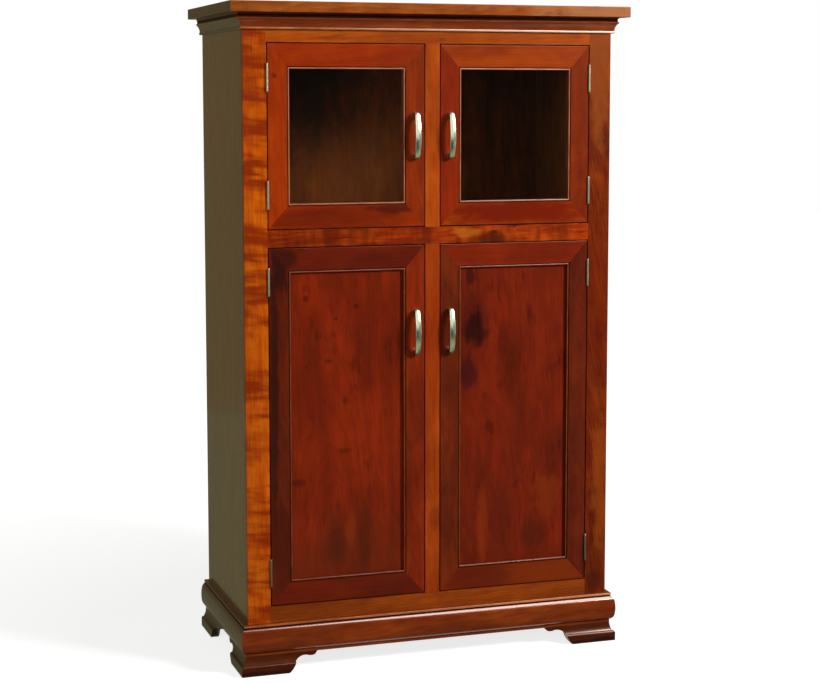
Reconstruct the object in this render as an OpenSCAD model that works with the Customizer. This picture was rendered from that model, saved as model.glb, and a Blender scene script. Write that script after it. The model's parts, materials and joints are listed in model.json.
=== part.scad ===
// Four-door hutch cabinet: two glazed doors over two panelled doors, set inside a
// face frame, under a moulded crown and on a moulded base with bracket feet.
// +Z is up, the doors face -Y, and the origin is on the floor under the middle of
// the whole cabinet. Every size is in millimetres.

/* [Cabinet] */
// Width over the two side panels
body_w = 914; // [760:1:1100]
// Depth from the front of the face frame to the back
body_d = 438; // [340:1:600]
// How far the top stands out at the front and the sides
top_overhang = 36; // [31:1:60]
// Thickness of the top
top_t = 25; // [18:0.5:35]

/* [Heights] */
// Height of the feet
foot_h = 45; // [42:1:52]
// Height of the base moulding
base_h = 75; // [66:1:100]
// Bottom rail that shows above the base moulding
bottom_reveal = 38.5; // [20:0.5:80]
// Height of the lower door openings
lower_opening_h = 848; // [720:1:950]
// Width of the rail between the upper and the lower doors
middle_rail_w = 40; // [30:1:70]
// Height of the upper door openings
upper_opening_h = 431; // [320:1:600]
// Top rail that shows under the crown
top_reveal = 28.5; // [15:0.5:70]
// Height of the crown moulding
crown_h = 38; // [34:1:60]

/* [Face frame] */
// Thickness of the face frame's boards
frame_t = 19; // [17:0.5:25]
// Width of the two outer stiles
stile_w = 55; // [40:1:80]
// Width of the middle uprights between the doors
mullion_w = 36; // [28:1:60]
// Length of the tenons on the rails
rail_tenon = 22; // [10:1:30]
// Length of the tenons on the middle uprights
mullion_tenon = 12; // [8:1:14]
// Thickness of those tenons
tenon_t = 6; // [5:0.5:8]
// Shoulder left at each edge of a tenon
tenon_shoulder = 6; // [3:0.5:10]

/* [Carcass] */
// Thickness of the side panels
side_t = 19; // [17:0.5:25]
// Thickness of the bottom, the middle and the upper panel
board_t = 19; // [17:0.5:25]
// Thickness of the back panel
back_t = 6; // [4:0.5:10]
// Depth of the grooves in the sides that hold the panels
dado_d = 6; // [4:0.5:8]
// Shoulder over the tongue at each end of those panels
tongue_shoulder = 5; // [3:0.5:8]
// Width of the rabbet in each side that holds the back panel
back_rabbet = 9; // [6:0.5:12]

/* [Doors] */
// Gap all round each door
door_gap = 2.5; // [2.5:0.1:4]
// Thickness of the doors
door_t = 19; // [18:0.5:25]
// Width of the upright members of a door
door_stile_w = 51.5; // [44:0.5:80]
// Width of the level members of a door
door_rail_w = 58; // [44:0.5:90]
// Width of the bead round the inside of a door's frame
bead_w = 4; // [3:0.5:5]
// Radius of the hollow line beside the bead
quirk_r = 2.5; // [1.5:0.1:3]
// How far the bead's crest lies behind the door's face
bead_set = 0.6; // [0.2:0.1:2]
// Depth of the panel's or the glass's face behind the door's face
panel_inset = 9; // [7:0.5:9.5]
// Thickness of a door's wooden panel
panel_t = 6; // [4:0.5:7]
// How far a panel, or the glass, reaches into a door's frame
panel_bite = 8; // [5:0.5:12]
// Room left for the panel, or the glass, at each of its edges
panel_room = 1; // [0.5:0.5:2]
// Thickness of the glass
glass_t = 4; // [3:0.5:5]

/* [Hinges] */
// Length of a hinge
hinge_len = 64; // [40:1:76]
// From a door's end to the middle of its hinge
hinge_inset = 78; // [50:1:120]
// Thickness of a hinge's leaves
leaf_t = 1; // [0.8:0.1:1.1]
// Width of a leaf, from the face of the frame inwards
leaf_w = 15; // [12:0.5:17]
// Radius of the hinge's barrel
knuckle_r = 2.75; // [2.4:0.05:2.9]
// Radius of the hinge's pin
hinge_pin_r = 1.25; // [1:0.05:1.6]
// How far the pin's middle stands in front of the doors
pin_proud = 3; // [2.9:0.1:4]
// Room round the pin
pin_play = 0.05; // [0.02:0.01:0.1]
// Radius of a hinge screw's shank
screw_r = 1.6; // [1.2:0.1:2]
// Length of a hinge screw
screw_len = 14; // [8:1:16]

/* [Pulls] */
// From a door's edge to the middle of its pull
pull_edge = 22.5; // [14:0.5:28]
// Distance between a pull's two screws
pull_cc = 96; // [76:1:128]
// How far a pull's ends reach past its screws
pull_end = 7.5; // [6:0.5:9]
// How far a pull stands out from the door
pull_proud = 28; // [22:1:30]
// Radius of the bow in a pull's bar
pull_bow_r = 148; // [120:1:300]
// Thickness of a pull's bar
pull_t = 6; // [4.5:0.5:7]
// Width of the pull at its middle
pull_w = 14; // [12:0.5:18]
// Width of the pull at its ends
pull_end_w = 11; // [9:0.5:13]
// From the top of a lower door to the middle of its pull
lower_pull_drop = 207.5; // [80:0.5:420]
// Radius of a pull's screws
pull_screw_r = 2; // [1.5:0.1:2.5]

/* [Shelf] */
// Thickness of the adjustable shelf
shelf_t = 19; // [16:0.5:25]
// Distance between the holes for the shelf pins
hole_pitch = 64; // [32:1:70]
// Height of the lowest hole above the bottom panel
hole_first = 220; // [120:1:230]
// Hole that carries the shelf, counted from 0 at the bottom
shelf_hole = 3; // [0:1:6]
// Radius of a shelf pin
shelf_pin_r = 2.5; // [2:0.1:3]

/* [Feet] */
// Thickness of the feet's boards at the floor
foot_t = 20.5; // [19:0.5:26]
// Reach of a front foot along the floor from the corner of the carcass
front_foot_len = 95; // [80:1:150]
// Reach of a back foot along the floor from the back of the carcass
back_foot_len = 112; // [80:1:150]
// Length of the plain boards across the back
back_bracket_len = 90; // [60:1:140]
// Thickness of the plain boards across the back
back_bracket_t = 19; // [12:0.5:25]
// Width of the corner block inside a foot
foot_block_w = 40; // [25:1:60]
// How far the corner blocks stay off the floor
foot_block_lift = 3; // [1:0.5:10]

/* [Hidden] */
$fn = 64;

cut = 1;            // how far a cutting shape runs past what it cuts
touch = 0.3;        // room between the catches and their strikes
hole_play = 0.05;   // room round screws and shelf pins

// Colours of the finishes
cherry = [0.55, 0.2, 0.06];
cherry_panel = [0.45, 0.14, 0.05];
cherry_side = [0.3, 0.2, 0.12];
inside_wood = [0.38, 0.2, 0.09];
nickel = [0.72, 0.72, 0.68];
brown_plastic = [0.22, 0.14, 0.1];
clear_glass = [0.75, 0.85, 0.85, 0.3];

// Places across the cabinet, front to back
half_w = body_w / 2;
back_y = (body_d + top_overhang) / 2;
face_y = back_y - body_d;
frame_back_y = face_y + frame_t;
inside_x = half_w - side_t;
inside_back_y = back_y - back_t;
open_x0 = mullion_w / 2;
open_x1 = half_w - stile_w;

// Levels, from the floor up
base_z1 = foot_h + base_h;
low_z0 = base_z1 + bottom_reveal;
low_z1 = low_z0 + lower_opening_h;
up_z0 = low_z1 + middle_rail_w;
up_z1 = up_z0 + upper_opening_h;
crown_z0 = up_z1 + top_reveal;
top_z0 = crown_z0 + crown_h;

// Doors
door_w = open_x1 - open_x0 - 2 * door_gap;
upper_door_h = upper_opening_h - 2 * door_gap;
lower_door_h = lower_opening_h - 2 * door_gap;
door_x0 = -open_x1 + door_gap;
mould_w = bead_w + 2 * quirk_r;
groove_in = panel_bite - panel_room;

// Hinges, in a left-hand door's own place: its lower hinge-side corner at 0
pin_x = -door_gap / 2;
bore_r = hinge_pin_r + pin_play;
knuckle_len = hinge_len / 5;
knuckle_play = 0.15;
pin_head_r = knuckle_r - 0.55;
pin_head_t = 1.4;
screw_head_r = screw_r + 1;
screw_at = [-0.36, 0, 0.36];
screw_y = leaf_w * 0.58;

// Crown and base mouldings: how far each line stands out from the sides
crown_out = 15;
crown_bead_r = 3.4;
crown_bead_out = 8;
crown_cove_r = 23;
crown_cove_out = 6.5;
crown_fillet_z = 23.6;
crown_fillet_h = 3.6;
crown_neck_out = 12.6;
crown_lip_h = 3.4;
base_out = 20.6;
base_toe_out = 9;
base_toe_h = 7.5;
base_sunk_out = 10.2;
base_cap_out = 12;
base_cap_h = 5.5;
base_line_h = 2;

// Feet
foot_top_out = 9;
foot_shoulder_r = 4;
foot_cove_h = 18;
foot_flat_h = foot_h - foot_cove_h;
foot_cove_r = 17.5;
foot_toe_r = 54.4;
foot_toe_drop = 3.8;
foot_arch_r = 29.7;
foot_arch_drop = 37.1;
foot_nose_r = 12.5;
foot_nose_lift = 3;
foot_nose_low = 9.5;
foot_arch_s = 39.8;
foot_nose_s = 57.5;

// Shelf and what carries it
hole_count = 7;
hole_setback = 50;
hole_depth = 11;
pin_depth = 10;
tab = [8, 10, 2.5];
shelf_side_room = 1.5;
shelf_front_room = 24;
shelf_back_room = 3;

// Magnetic catches behind the middle uprights, and the doors' strikes
catch_h = 44;
catch_d = 15;
catch_reach = 15;
catch_drop = 70;
catch_edge = 2;
strike_t = 1.2;
strike_w = 11;
strike_h = 38;

// Pull
pull_len = pull_cc + 2 * pull_end;
pull_foot = 2 * pull_end - 2;
pull_corner_r = 12;
pull_inner_r = 8;
pull_end_r = 9;
pull_ridge = 0.9;
pull_bite = 6;
pull_head_r = 4;
pull_head_t = 2.4;

function arc_r(half, rise) = (half * half + rise * rise) / (2 * rise);
function door_z0(upper) = (upper ? up_z0 : low_z0) + door_gap;
function door_h(upper) = upper ? upper_door_h : lower_door_h;
function pull_z(upper) = upper ? upper_door_h / 2 : lower_door_h - lower_pull_drop;
function hinge_levels(upper) = [hinge_inset, door_h(upper) - hinge_inset];
function catch_z(upper) = door_z0(upper) + door_h(upper) - catch_drop;

// The left-hand piece as it is, or mirrored for the right-hand side
module handed(right) {
    if (right) mirror([1, 0, 0]) children();
    else children();
}

// Moves a left-hand door from its own corner to its place in the cabinet
module at_door(upper) {
    translate([door_x0, face_y, door_z0(upper)]) children();
}

// A board between two corners
module board(low, high) {
    translate(low) cube([high[0] - low[0], high[1] - low[1], high[2] - low[2]]);
}

module top_slab() {
    color(cherry)
        board([-half_w - top_overhang, face_y - top_overhang, top_z0],
              [half_w + top_overhang, back_y, top_z0 + top_t]);
}

// Outline of the crown: x is how far it stands out, y is up
module crown_outline() {
    square([crown_bead_out - crown_bead_r, crown_h]);
    translate([crown_bead_out - crown_bead_r, crown_bead_r]) circle(r = crown_bead_r);
    difference() {
        translate([0, 2 * crown_bead_r - 0.4])
            square([crown_out - 1, crown_fillet_z - 2 * crown_bead_r + 0.4]);
        translate([crown_cove_out + crown_cove_r, 2 * crown_bead_r - 0.4])
            circle(r = crown_cove_r);
    }
    translate([0, crown_fillet_z]) square([crown_out, crown_fillet_h]);
    translate([0, crown_fillet_z]) square([crown_neck_out, crown_h - crown_fillet_z]);
    translate([0, crown_h - crown_lip_h]) square([crown_out - 0.6, crown_lip_h]);
}

// Outline of the base: a toe, a broad round, a sunk line and a cap
module base_outline() {
    round_h = base_h - base_toe_h - base_line_h - base_cap_h;
    round_r = arc_r(round_h / 2, base_out - base_sunk_out);
    square([base_toe_out, base_toe_h]);
    square([base_sunk_out - 0.6, base_h]);
    translate([0, base_h - base_cap_h]) square([base_cap_out, base_cap_h]);
    intersection() {
        translate([0, base_toe_h]) square([base_out, round_h]);
        translate([base_out - round_r, base_toe_h + round_h / 2]) circle(r = round_r);
    }
}

// Lays an outline along the front of the cabinet, mitred at both ends
module front_moulding(z, height, out) {
    run = body_w + 2 * out;
    intersection() {
        translate([-run / 2, face_y, z])
            rotate([90, 0, 90]) linear_extrude(height = run) mirror([1, 0]) children();
        translate([0, 0, z - cut]) linear_extrude(height = height + 2 * cut)
            polygon([
                [-half_w, face_y], [-half_w - out, face_y - out],
                [half_w + out, face_y - out], [half_w, face_y]
            ]);
    }
}

// Lays an outline along the left side of the cabinet, mitred at the front
module side_moulding(z, height, out) {
    intersection() {
        translate([-half_w, back_y, z])
            rotate([90, 0, 0]) linear_extrude(height = body_d + out) mirror([1, 0]) children();
        translate([0, 0, z - cut]) linear_extrude(height = height + 2 * cut)
            polygon([
                [-half_w, face_y], [-half_w - out, face_y - out],
                [-half_w - out, back_y], [-half_w, back_y]
            ]);
    }
}

module crown_front() { color(cherry) front_moulding(crown_z0, crown_h, crown_out) crown_outline(); }
module crown_side() { color(cherry_side) side_moulding(crown_z0, crown_h, crown_out) crown_outline(); }
module crown_left() { crown_side(); }
module crown_right() { handed(true) crown_side(); }

module base_front() { color(cherry) front_moulding(foot_h, base_h, base_out) base_outline(); }
module base_side() { color(cherry_side) side_moulding(foot_h, base_h, base_out) base_outline(); }
module base_left() { base_side(); }
module base_right() { handed(true) base_side(); }

// Both rows of shelf-pin places on the left side
module at_pin_places(z_list) {
    for (y = [frame_back_y + hole_setback, inside_back_y - hole_setback])
        for (z = z_list)
            translate([-inside_x, y, z]) children();
}

module side_panel() {
    color(cherry_side) difference() {
        board([-half_w, frame_back_y, foot_h], [-inside_x, back_y, top_z0]);
        for (z = [low_z0, up_z0, top_z0])
            board([-inside_x - dado_d, frame_back_y - cut, z - board_t],
                  [-inside_x + cut, inside_back_y, z - tongue_shoulder]);
        board([-inside_x - back_rabbet, inside_back_y, foot_h - cut],
              [-inside_x + cut, back_y + cut, top_z0 + cut]);
        at_pin_places([for (i = [0 : hole_count - 1]) low_z0 + hole_first + i * hole_pitch])
            translate([-hole_depth, 0, 0]) rotate([0, 90, 0])
                cylinder(r = shelf_pin_r + hole_play, h = hole_depth + cut);
    }
}
module side_left() { side_panel(); }
module side_right() { handed(true) side_panel(); }

// A level panel between the sides, with a tongue at each end for its groove
module carcass_panel(z) {
    board([-inside_x, frame_back_y, z - board_t], [inside_x, inside_back_y, z]);
    board([-inside_x - dado_d, frame_back_y, z - board_t],
          [inside_x + dado_d, inside_back_y, z - tongue_shoulder]);
}
module sub_top() { color(inside_wood) carcass_panel(top_z0); }
module middle_panel() { color(inside_wood) carcass_panel(up_z0); }
module bottom_panel() { color(inside_wood) carcass_panel(low_z0); }

module back_panel() {
    color(inside_wood)
        board([-inside_x - back_rabbet, inside_back_y, foot_h],
              [inside_x + back_rabbet, back_y, top_z0]);
}

// The rails' tenons, long enough for both ends: low and high edge of the rail
module rail_body(z0, z1) {
    tenon_y = face_y + (frame_t - tenon_t) / 2;
    board([-open_x1, face_y, z0], [open_x1, frame_back_y, z1]);
    board([-open_x1 - rail_tenon, tenon_y, z0 + tenon_shoulder],
          [open_x1 + rail_tenon, tenon_y + tenon_t, z1 - tenon_shoulder]);
}
module mullion_body(z0, z1) {
    tenon_y = face_y + (frame_t - tenon_t) / 2;
    board([-open_x0, face_y, z0], [open_x0, frame_back_y, z1]);
    board([-open_x0 + tenon_shoulder, tenon_y, z0 - mullion_tenon],
          [open_x0 - tenon_shoulder, tenon_y + tenon_t, z1 + mullion_tenon]);
}

module top_rail() { rail_body(up_z1, top_z0); }
module middle_rail() { rail_body(low_z1, up_z0); }
module bottom_rail() { rail_body(foot_h, low_z0); }
module upper_mullion() { mullion_body(up_z0, up_z1); }
module lower_mullion() { mullion_body(low_z0, low_z1); }

module frame_rail_top() { color(cherry) difference() { top_rail(); upper_mullion(); } }
module frame_rail_middle() {
    color(cherry) difference() { middle_rail(); upper_mullion(); lower_mullion(); }
}
module frame_rail_bottom() { color(cherry) difference() { bottom_rail(); lower_mullion(); } }
module frame_mullion_upper() { color(cherry) upper_mullion(); }
module frame_mullion_lower() { color(cherry) lower_mullion(); }

module frame_stile() {
    color(cherry) difference() {
        board([-half_w, face_y, foot_h], [-open_x1, frame_back_y, top_z0]);
        top_rail();
        middle_rail();
        bottom_rail();
        for (upper = [true, false])
            at_door(upper) frame_screws(upper, hole_play);
    }
}
module frame_stile_left() { frame_stile(); }
module frame_stile_right() { handed(true) frame_stile(); }

// Section of a foot's board: x is how far it stands out, y is up
module foot_section() {
    square([foot_t, foot_flat_h]);
    translate([foot_t - foot_shoulder_r, foot_flat_h]) circle(r = foot_shoulder_r);
    difference() {
        square([foot_t - foot_shoulder_r + 0.5, foot_h]);
        translate([foot_top_out + foot_cove_r, foot_h]) circle(r = foot_cove_r);
    }
}

// Front view of a foot's board: x runs from the carcass's corner, y is up
module foot_outline(reach) {
    toe_x = reach - sqrt(pow(foot_toe_r, 2) - pow(foot_h - foot_toe_drop, 2));
    arch_x = reach + foot_arch_s;
    nose_x = reach + foot_nose_s;
    intersection() {
        union() {
            translate([-foot_t, 0]) square([foot_t + toe_x, foot_h]);
            translate([toe_x, foot_h - foot_toe_drop]) circle(r = foot_toe_r);
            difference() {
                union() {
                    translate([toe_x, foot_flat_h]) square([arch_x - toe_x, foot_h]);
                    translate([arch_x - cut, foot_h - foot_nose_low])
                        square([nose_x - arch_x + cut, foot_h]);
                }
                translate([arch_x, foot_h - foot_arch_drop]) circle(r = foot_arch_r);
            }
            translate([nose_x, foot_h + foot_nose_lift]) circle(r = foot_nose_r);
        }
        translate([-foot_t, 0]) square([nose_x + 2 * foot_t + foot_nose_r, foot_h]);
    }
}

// Board of a front-left foot along the front; its corner is cut to a mitre
module foot_front_board() {
    intersection() {
        translate([-half_w - foot_t, face_y, 0]) rotate([90, 0, 90])
            linear_extrude(height = body_w / 2) mirror([1, 0]) foot_section();
        translate([-half_w, face_y + cut, 0]) rotate([90, 0, 0])
            linear_extrude(height = foot_t + 2 * cut) foot_outline(front_foot_len);
        translate([-half_w, face_y, -cut]) linear_extrude(height = foot_h + 2 * cut)
            polygon([[0, 0], [-foot_t - cut, -foot_t - cut], [half_w, -foot_t - cut], [half_w, 0]]);
    }
}

// Board of a left foot along the side: a mitre at the front, a square end at the back
module foot_side_board(at_front) {
    reach = at_front ? front_foot_len : back_foot_len;
    intersection() {
        translate([-half_w, back_y, 0]) rotate([90, 0, 0])
            linear_extrude(height = body_d + foot_t) mirror([1, 0]) foot_section();
        translate([-half_w - foot_t - cut, at_front ? face_y : back_y, 0])
            rotate([90, 0, 90]) linear_extrude(height = foot_t + 2 * cut)
                mirror([at_front ? 0 : 1, 0]) foot_outline(reach);
        translate([-half_w, face_y, -cut]) linear_extrude(height = foot_h + 2 * cut)
            polygon([[0, 0], [-foot_t - cut, -foot_t - cut], [-foot_t - cut, body_d], [0, body_d]]);
    }
}

module foot_front() {
    color(cherry) foot_front_board();
    color(cherry_side) foot_side_board(true);
    color(inside_wood)
        board([-half_w, face_y, foot_block_lift],
              [-half_w + foot_block_w, face_y + foot_block_w, foot_h]);
}
module foot_back() {
    color(cherry_side) foot_side_board(false);
    color(inside_wood)
        board([-half_w, back_y - back_bracket_t, 0],
              [-half_w + back_bracket_len, back_y, foot_h]);
    color(inside_wood)
        board([-half_w, back_y - back_bracket_t - foot_block_w, foot_block_lift],
              [-half_w + foot_block_w, back_y - back_bracket_t, foot_h]);
}
module foot_front_left() { foot_front(); }
module foot_front_right() { handed(true) foot_front(); }
module foot_back_left() { foot_back(); }
module foot_back_right() { handed(true) foot_back(); }

shelf_pin_z = low_z0 + hole_first + shelf_hole * hole_pitch;
shelf_z = shelf_pin_z + shelf_pin_r;

module shelf() {
    color(inside_wood)
        board([-inside_x + shelf_side_room, frame_back_y + shelf_front_room, shelf_z],
              [inside_x - shelf_side_room, inside_back_y - shelf_back_room, shelf_z + shelf_t]);
}

module left_shelf_pins() {
    at_pin_places([shelf_pin_z]) {
        translate([-pin_depth, 0, 0]) rotate([0, 90, 0])
            cylinder(r = shelf_pin_r, h = pin_depth + tab[0] / 4);
        translate([0, -tab[1] / 2, shelf_pin_r - tab[2]]) cube(tab);
    }
}
module shelf_pins() {
    color(nickel) {
        left_shelf_pins();
        handed(true) left_shelf_pins();
    }
}

module door_catches() {
    color(brown_plastic)
        for (upper = [true, false]) {
            z0 = catch_z(upper) - catch_h / 2;
            board([-open_x0 + catch_edge, frame_back_y, z0],
                  [open_x0 - catch_edge, frame_back_y + catch_d, z0 + catch_h]);
            board([-open_x0 - catch_reach, frame_back_y + strike_t + touch, z0],
                  [open_x0 + catch_reach, frame_back_y + catch_d, z0 + catch_h]);
        }
}

// Places of the three screws of each hinge of a left-hand door
module at_screws(upper) {
    for (level = hinge_levels(upper))
        for (share = screw_at)
            translate([0, screw_y, level + share * hinge_len]) children();
}

// A countersunk screw along +x, its head's face at x = 0; a positive room makes its hole
module wood_screw(room) {
    rotate([0, 90, 0]) {
        cylinder(r1 = screw_head_r + room, r2 = screw_r + room, h = leaf_t);
        cylinder(r = screw_r + room, h = screw_len + room);
    }
}

module frame_screws(upper, room) {
    at_screws(upper) translate([-door_gap + leaf_t, 0, 0]) mirror([1, 0, 0]) wood_screw(room);
}
module door_screws(upper, room) {
    at_screws(upper) translate([-leaf_t, 0, 0]) wood_screw(room);
}

// One leaf, with the barrel's pieces at the given places counted from the bottom
module leaf(x0, places) {
    z0 = -hinge_len / 2;
    board([x0, 0, z0], [x0 + leaf_t, leaf_w, z0 + hinge_len]);
    difference() {
        for (i = places) translate([0, 0, z0 + i * knuckle_len + knuckle_play]) {
            translate([pin_x, -pin_proud, 0])
                cylinder(r = knuckle_r, h = knuckle_len - 2 * knuckle_play);
            translate([x0, -pin_proud, 0])
                cube([leaf_t, pin_proud + 0.5, knuckle_len - 2 * knuckle_play]);
        }
        translate([pin_x, -pin_proud, z0 - cut]) cylinder(r = bore_r, h = hinge_len + 2 * cut);
    }
}

module left_frame_leaves() {
    for (upper = [true, false])
        at_door(upper) difference() {
            for (level = hinge_levels(upper)) translate([0, 0, level]) leaf(-door_gap, [0, 2, 4]);
            frame_screws(upper, hole_play);
        }
}
module hinge_frame_leaves() {
    color(nickel) {
        left_frame_leaves();
        handed(true) left_frame_leaves();
    }
}

module left_hinge_pins() {
    for (upper = [true, false])
        for (level = hinge_levels(upper))
            at_door(upper) translate([pin_x, -pin_proud, level]) {
                cylinder(r = hinge_pin_r, h = hinge_len + 1, center = true);
                for (end = [0, 1]) mirror([0, 0, end])
                    translate([0, 0, hinge_len / 2 - knuckle_play])
                        cylinder(r1 = pin_head_r, r2 = pin_head_r - 0.7, h = pin_head_t);
            }
}
module hinge_pins() {
    color(nickel) {
        left_hinge_pins();
        handed(true) left_hinge_pins();
    }
}

module left_frame_screws() {
    for (upper = [true, false])
        at_door(upper) frame_screws(upper, 0);
}
module hinge_frame_screws() {
    color(nickel) {
        left_frame_screws();
        handed(true) left_frame_screws();
    }
}

// Section of a door's member: x runs from its outer edge inwards, y from face to back
module member_section(width, glazed) {
    difference() {
        union() {
            difference() {
                square([width - bead_w, door_t]);
                translate([width - bead_w - quirk_r, 0]) circle(r = quirk_r);
            }
            translate([width - bead_w / 2, bead_set + bead_w / 2]) circle(r = bead_w / 2);
            translate([width - bead_w - 0.5, bead_set + bead_w / 2])
                square([bead_w + 0.5, door_t - bead_set - bead_w / 2]);
        }
        translate([width - panel_bite, panel_inset])
            square([panel_bite + cut, glazed ? door_t : panel_t]);
    }
}

// Front view of the door's left mitre: the moulded edges meet at half a right angle
module stile_view(height) {
    polygon([
        [0, 0], [door_stile_w - mould_w, door_rail_w - mould_w], [door_stile_w, door_rail_w],
        [door_stile_w, height - door_rail_w],
        [door_stile_w - mould_w, height - door_rail_w + mould_w], [0, height]
    ]);
}
module rail_view() {
    polygon([
        [0, 0], [door_stile_w - mould_w, door_rail_w - mould_w], [door_stile_w, door_rail_w],
        [door_w - door_stile_w, door_rail_w],
        [door_w - door_stile_w + mould_w, door_rail_w - mould_w], [door_w, 0]
    ]);
}

module door_stile(upper) {
    height = door_h(upper);
    intersection() {
        linear_extrude(height = height) member_section(door_stile_w, upper);
        translate([0, door_t + cut, 0]) rotate([90, 0, 0])
            linear_extrude(height = door_t + 2 * cut) stile_view(height);
    }
}
module door_rail(upper) {
    intersection() {
        rotate([90, 0, 90]) linear_extrude(height = door_w)
            mirror([1, -1]) member_section(door_rail_w, upper);
        translate([0, door_t + cut, 0]) rotate([90, 0, 0])
            linear_extrude(height = door_t + 2 * cut) rail_view();
    }
}

// Both screws of a pull, along +y from the back of the door
module at_pull_screws(upper) {
    for (side = [-1, 1])
        translate([door_w - pull_edge, 0, pull_z(upper) + side * pull_cc / 2]) children();
}
module pull_screws(upper, room) {
    at_pull_screws(upper) {
        translate([0, -pull_bite - room, 0]) rotate([-90, 0, 0])
            cylinder(r = pull_screw_r + room, h = door_t + pull_bite + room);
    }
}

module hinge_stile(upper) {
    color(cherry) difference() {
        door_stile(upper);
        door_screws(upper, hole_play);
    }
}
module pull_stile(upper) {
    color(cherry) difference() {
        translate([door_w, 0, 0]) mirror([1, 0, 0]) door_stile(upper);
        pull_screws(upper, hole_play);
    }
}
module door_rails(upper) {
    color(cherry) {
        door_rail(upper);
        translate([0, 0, door_h(upper)]) mirror([0, 0, 1]) door_rail(upper);
    }
}

// The sheet held by a door's frame, between two depths behind its face
module door_sheet(upper, depth) {
    side = door_stile_w - groove_in;
    rim = door_rail_w - groove_in;
    board([side, panel_inset, rim], [door_w - side, panel_inset + depth, door_h(upper) - rim]);
}
module door_glass(upper) { color(clear_glass) door_sheet(upper, glass_t); }
module door_panel(upper) { color(cherry_panel) door_sheet(upper, panel_t); }

// Stops behind the glass: two long uprights and two short level strips between them
module glass_stops(upper) {
    height = door_h(upper);
    stop_y = panel_inset + glass_t;
    side = door_stile_w - panel_bite;
    rim = door_rail_w - panel_bite;
    color(inside_wood) {
        for (x = [side, door_w - door_stile_w])
            board([x, stop_y, rim], [x + panel_bite, door_t, height - rim]);
        for (z = [rim, height - door_rail_w])
            board([door_stile_w, stop_y, z], [door_w - door_stile_w, door_t, z + panel_bite]);
    }
}

module door_hinge_leaves(upper) {
    color(nickel) difference() {
        for (level = hinge_levels(upper)) translate([0, 0, level]) leaf(-leaf_t, [1, 3]);
        door_screws(upper, hole_play);
    }
}

// Side view of a bowed bar that turns down at both ends: x is -1 times how far it
// stands out from the door, y is up. The corner arcs cross the bow's arc by a hair, so
// that the three make one clean outline.
module bow(half, crest, radius, corner_r) {
    hair = 0.05;
    corner_y = half - corner_r;
    corner_x = radius - crest - hair - sqrt(pow(radius - corner_r, 2) - pow(corner_y, 2));
    meet_y = corner_y * radius / (radius - corner_r);
    intersection() {
        translate([radius - crest, 0]) circle(r = radius, $fn = 256);
        translate([-crest, -meet_y]) square([crest + cut, 2 * meet_y]);
    }
    for (side = [-1, 1])
        translate([corner_x, side * corner_y]) circle(r = corner_r);
    translate([corner_x, -half]) square([cut - corner_x, 2 * half]);
}

// Front view of a pull: two long arcs make it widest at the middle, and its ends are round
module pull_front() {
    flank_r = arc_r(pull_len / 2, (pull_w - pull_end_w) / 2);
    intersection() {
        union() {
            square([pull_w, pull_len - 2 * pull_end_r], center = true);
            for (side = [-1, 1])
                translate([0, side * (pull_len / 2 - pull_end_r)]) circle(r = pull_end_r);
        }
        translate([flank_r - pull_w / 2, 0]) circle(r = flank_r, $fn = 1024);
        translate([pull_w / 2 - flank_r, 0]) circle(r = flank_r, $fn = 1024);
    }
}

// A round disc about the bow's centre, with a low ridge along the middle of its rim
module pull_ridge_disc() {
    translate([0, pull_bow_r - pull_proud, 0]) rotate([0, 90, 0]) rotate_extrude($fn = 256)
        polygon([
            [0, -pull_w], [pull_bow_r - 2 * pull_ridge, -pull_w], [pull_bow_r, 0],
            [pull_bow_r - 2 * pull_ridge, pull_w], [0, pull_w]
        ]);
}

module door_pull(upper) {
    color(nickel) difference() {
        translate([door_w - pull_edge, 0, pull_z(upper)]) intersection() {
            rotate([90, 0, 90]) linear_extrude(height = 2 * pull_w, center = true) difference() {
                bow(pull_len / 2, pull_proud + cut, pull_bow_r + cut, pull_corner_r);
                bow(pull_len / 2 - pull_foot, pull_proud - pull_t, pull_bow_r - pull_t,
                    pull_inner_r);
            }
            pull_ridge_disc();
            rotate([90, 0, 0]) linear_extrude(height = pull_proud + cut) pull_front();
        }
        pull_screws(upper, hole_play);
    }
}

// Strike for the catch, the hinge's screws and the pull's screws
module door_fixings(upper) {
    strike_x = door_w - catch_edge;
    strike_z = catch_z(upper) - door_z0(upper);
    color(nickel) {
        board([strike_x - strike_w, door_t, strike_z - strike_h / 2],
              [strike_x, door_t + strike_t, strike_z + strike_h / 2]);
        door_screws(upper, 0);
        pull_screws(upper, 0);
        at_pull_screws(upper) translate([0, door_t, 0]) rotate([-90, 0, 0])
            cylinder(r1 = pull_head_r, r2 = pull_head_r - 0.8, h = pull_head_t);
    }
}

module upper_left_hinge_stile() { at_door(true) hinge_stile(true); }
module upper_left_pull_stile() { at_door(true) pull_stile(true); }
module upper_left_rails() { at_door(true) door_rails(true); }
module upper_left_glass() { at_door(true) door_glass(true); }
module upper_left_glass_stops() { at_door(true) glass_stops(true); }
module upper_left_pull() { at_door(true) door_pull(true); }
module upper_left_hinge_leaves() { at_door(true) door_hinge_leaves(true); }
module upper_left_fixings() { at_door(true) door_fixings(true); }

module upper_right_hinge_stile() { handed(true) upper_left_hinge_stile(); }
module upper_right_pull_stile() { handed(true) upper_left_pull_stile(); }
module upper_right_rails() { handed(true) upper_left_rails(); }
module upper_right_glass() { handed(true) upper_left_glass(); }
module upper_right_glass_stops() { handed(true) upper_left_glass_stops(); }
module upper_right_pull() { handed(true) upper_left_pull(); }
module upper_right_hinge_leaves() { handed(true) upper_left_hinge_leaves(); }
module upper_right_fixings() { handed(true) upper_left_fixings(); }

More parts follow.
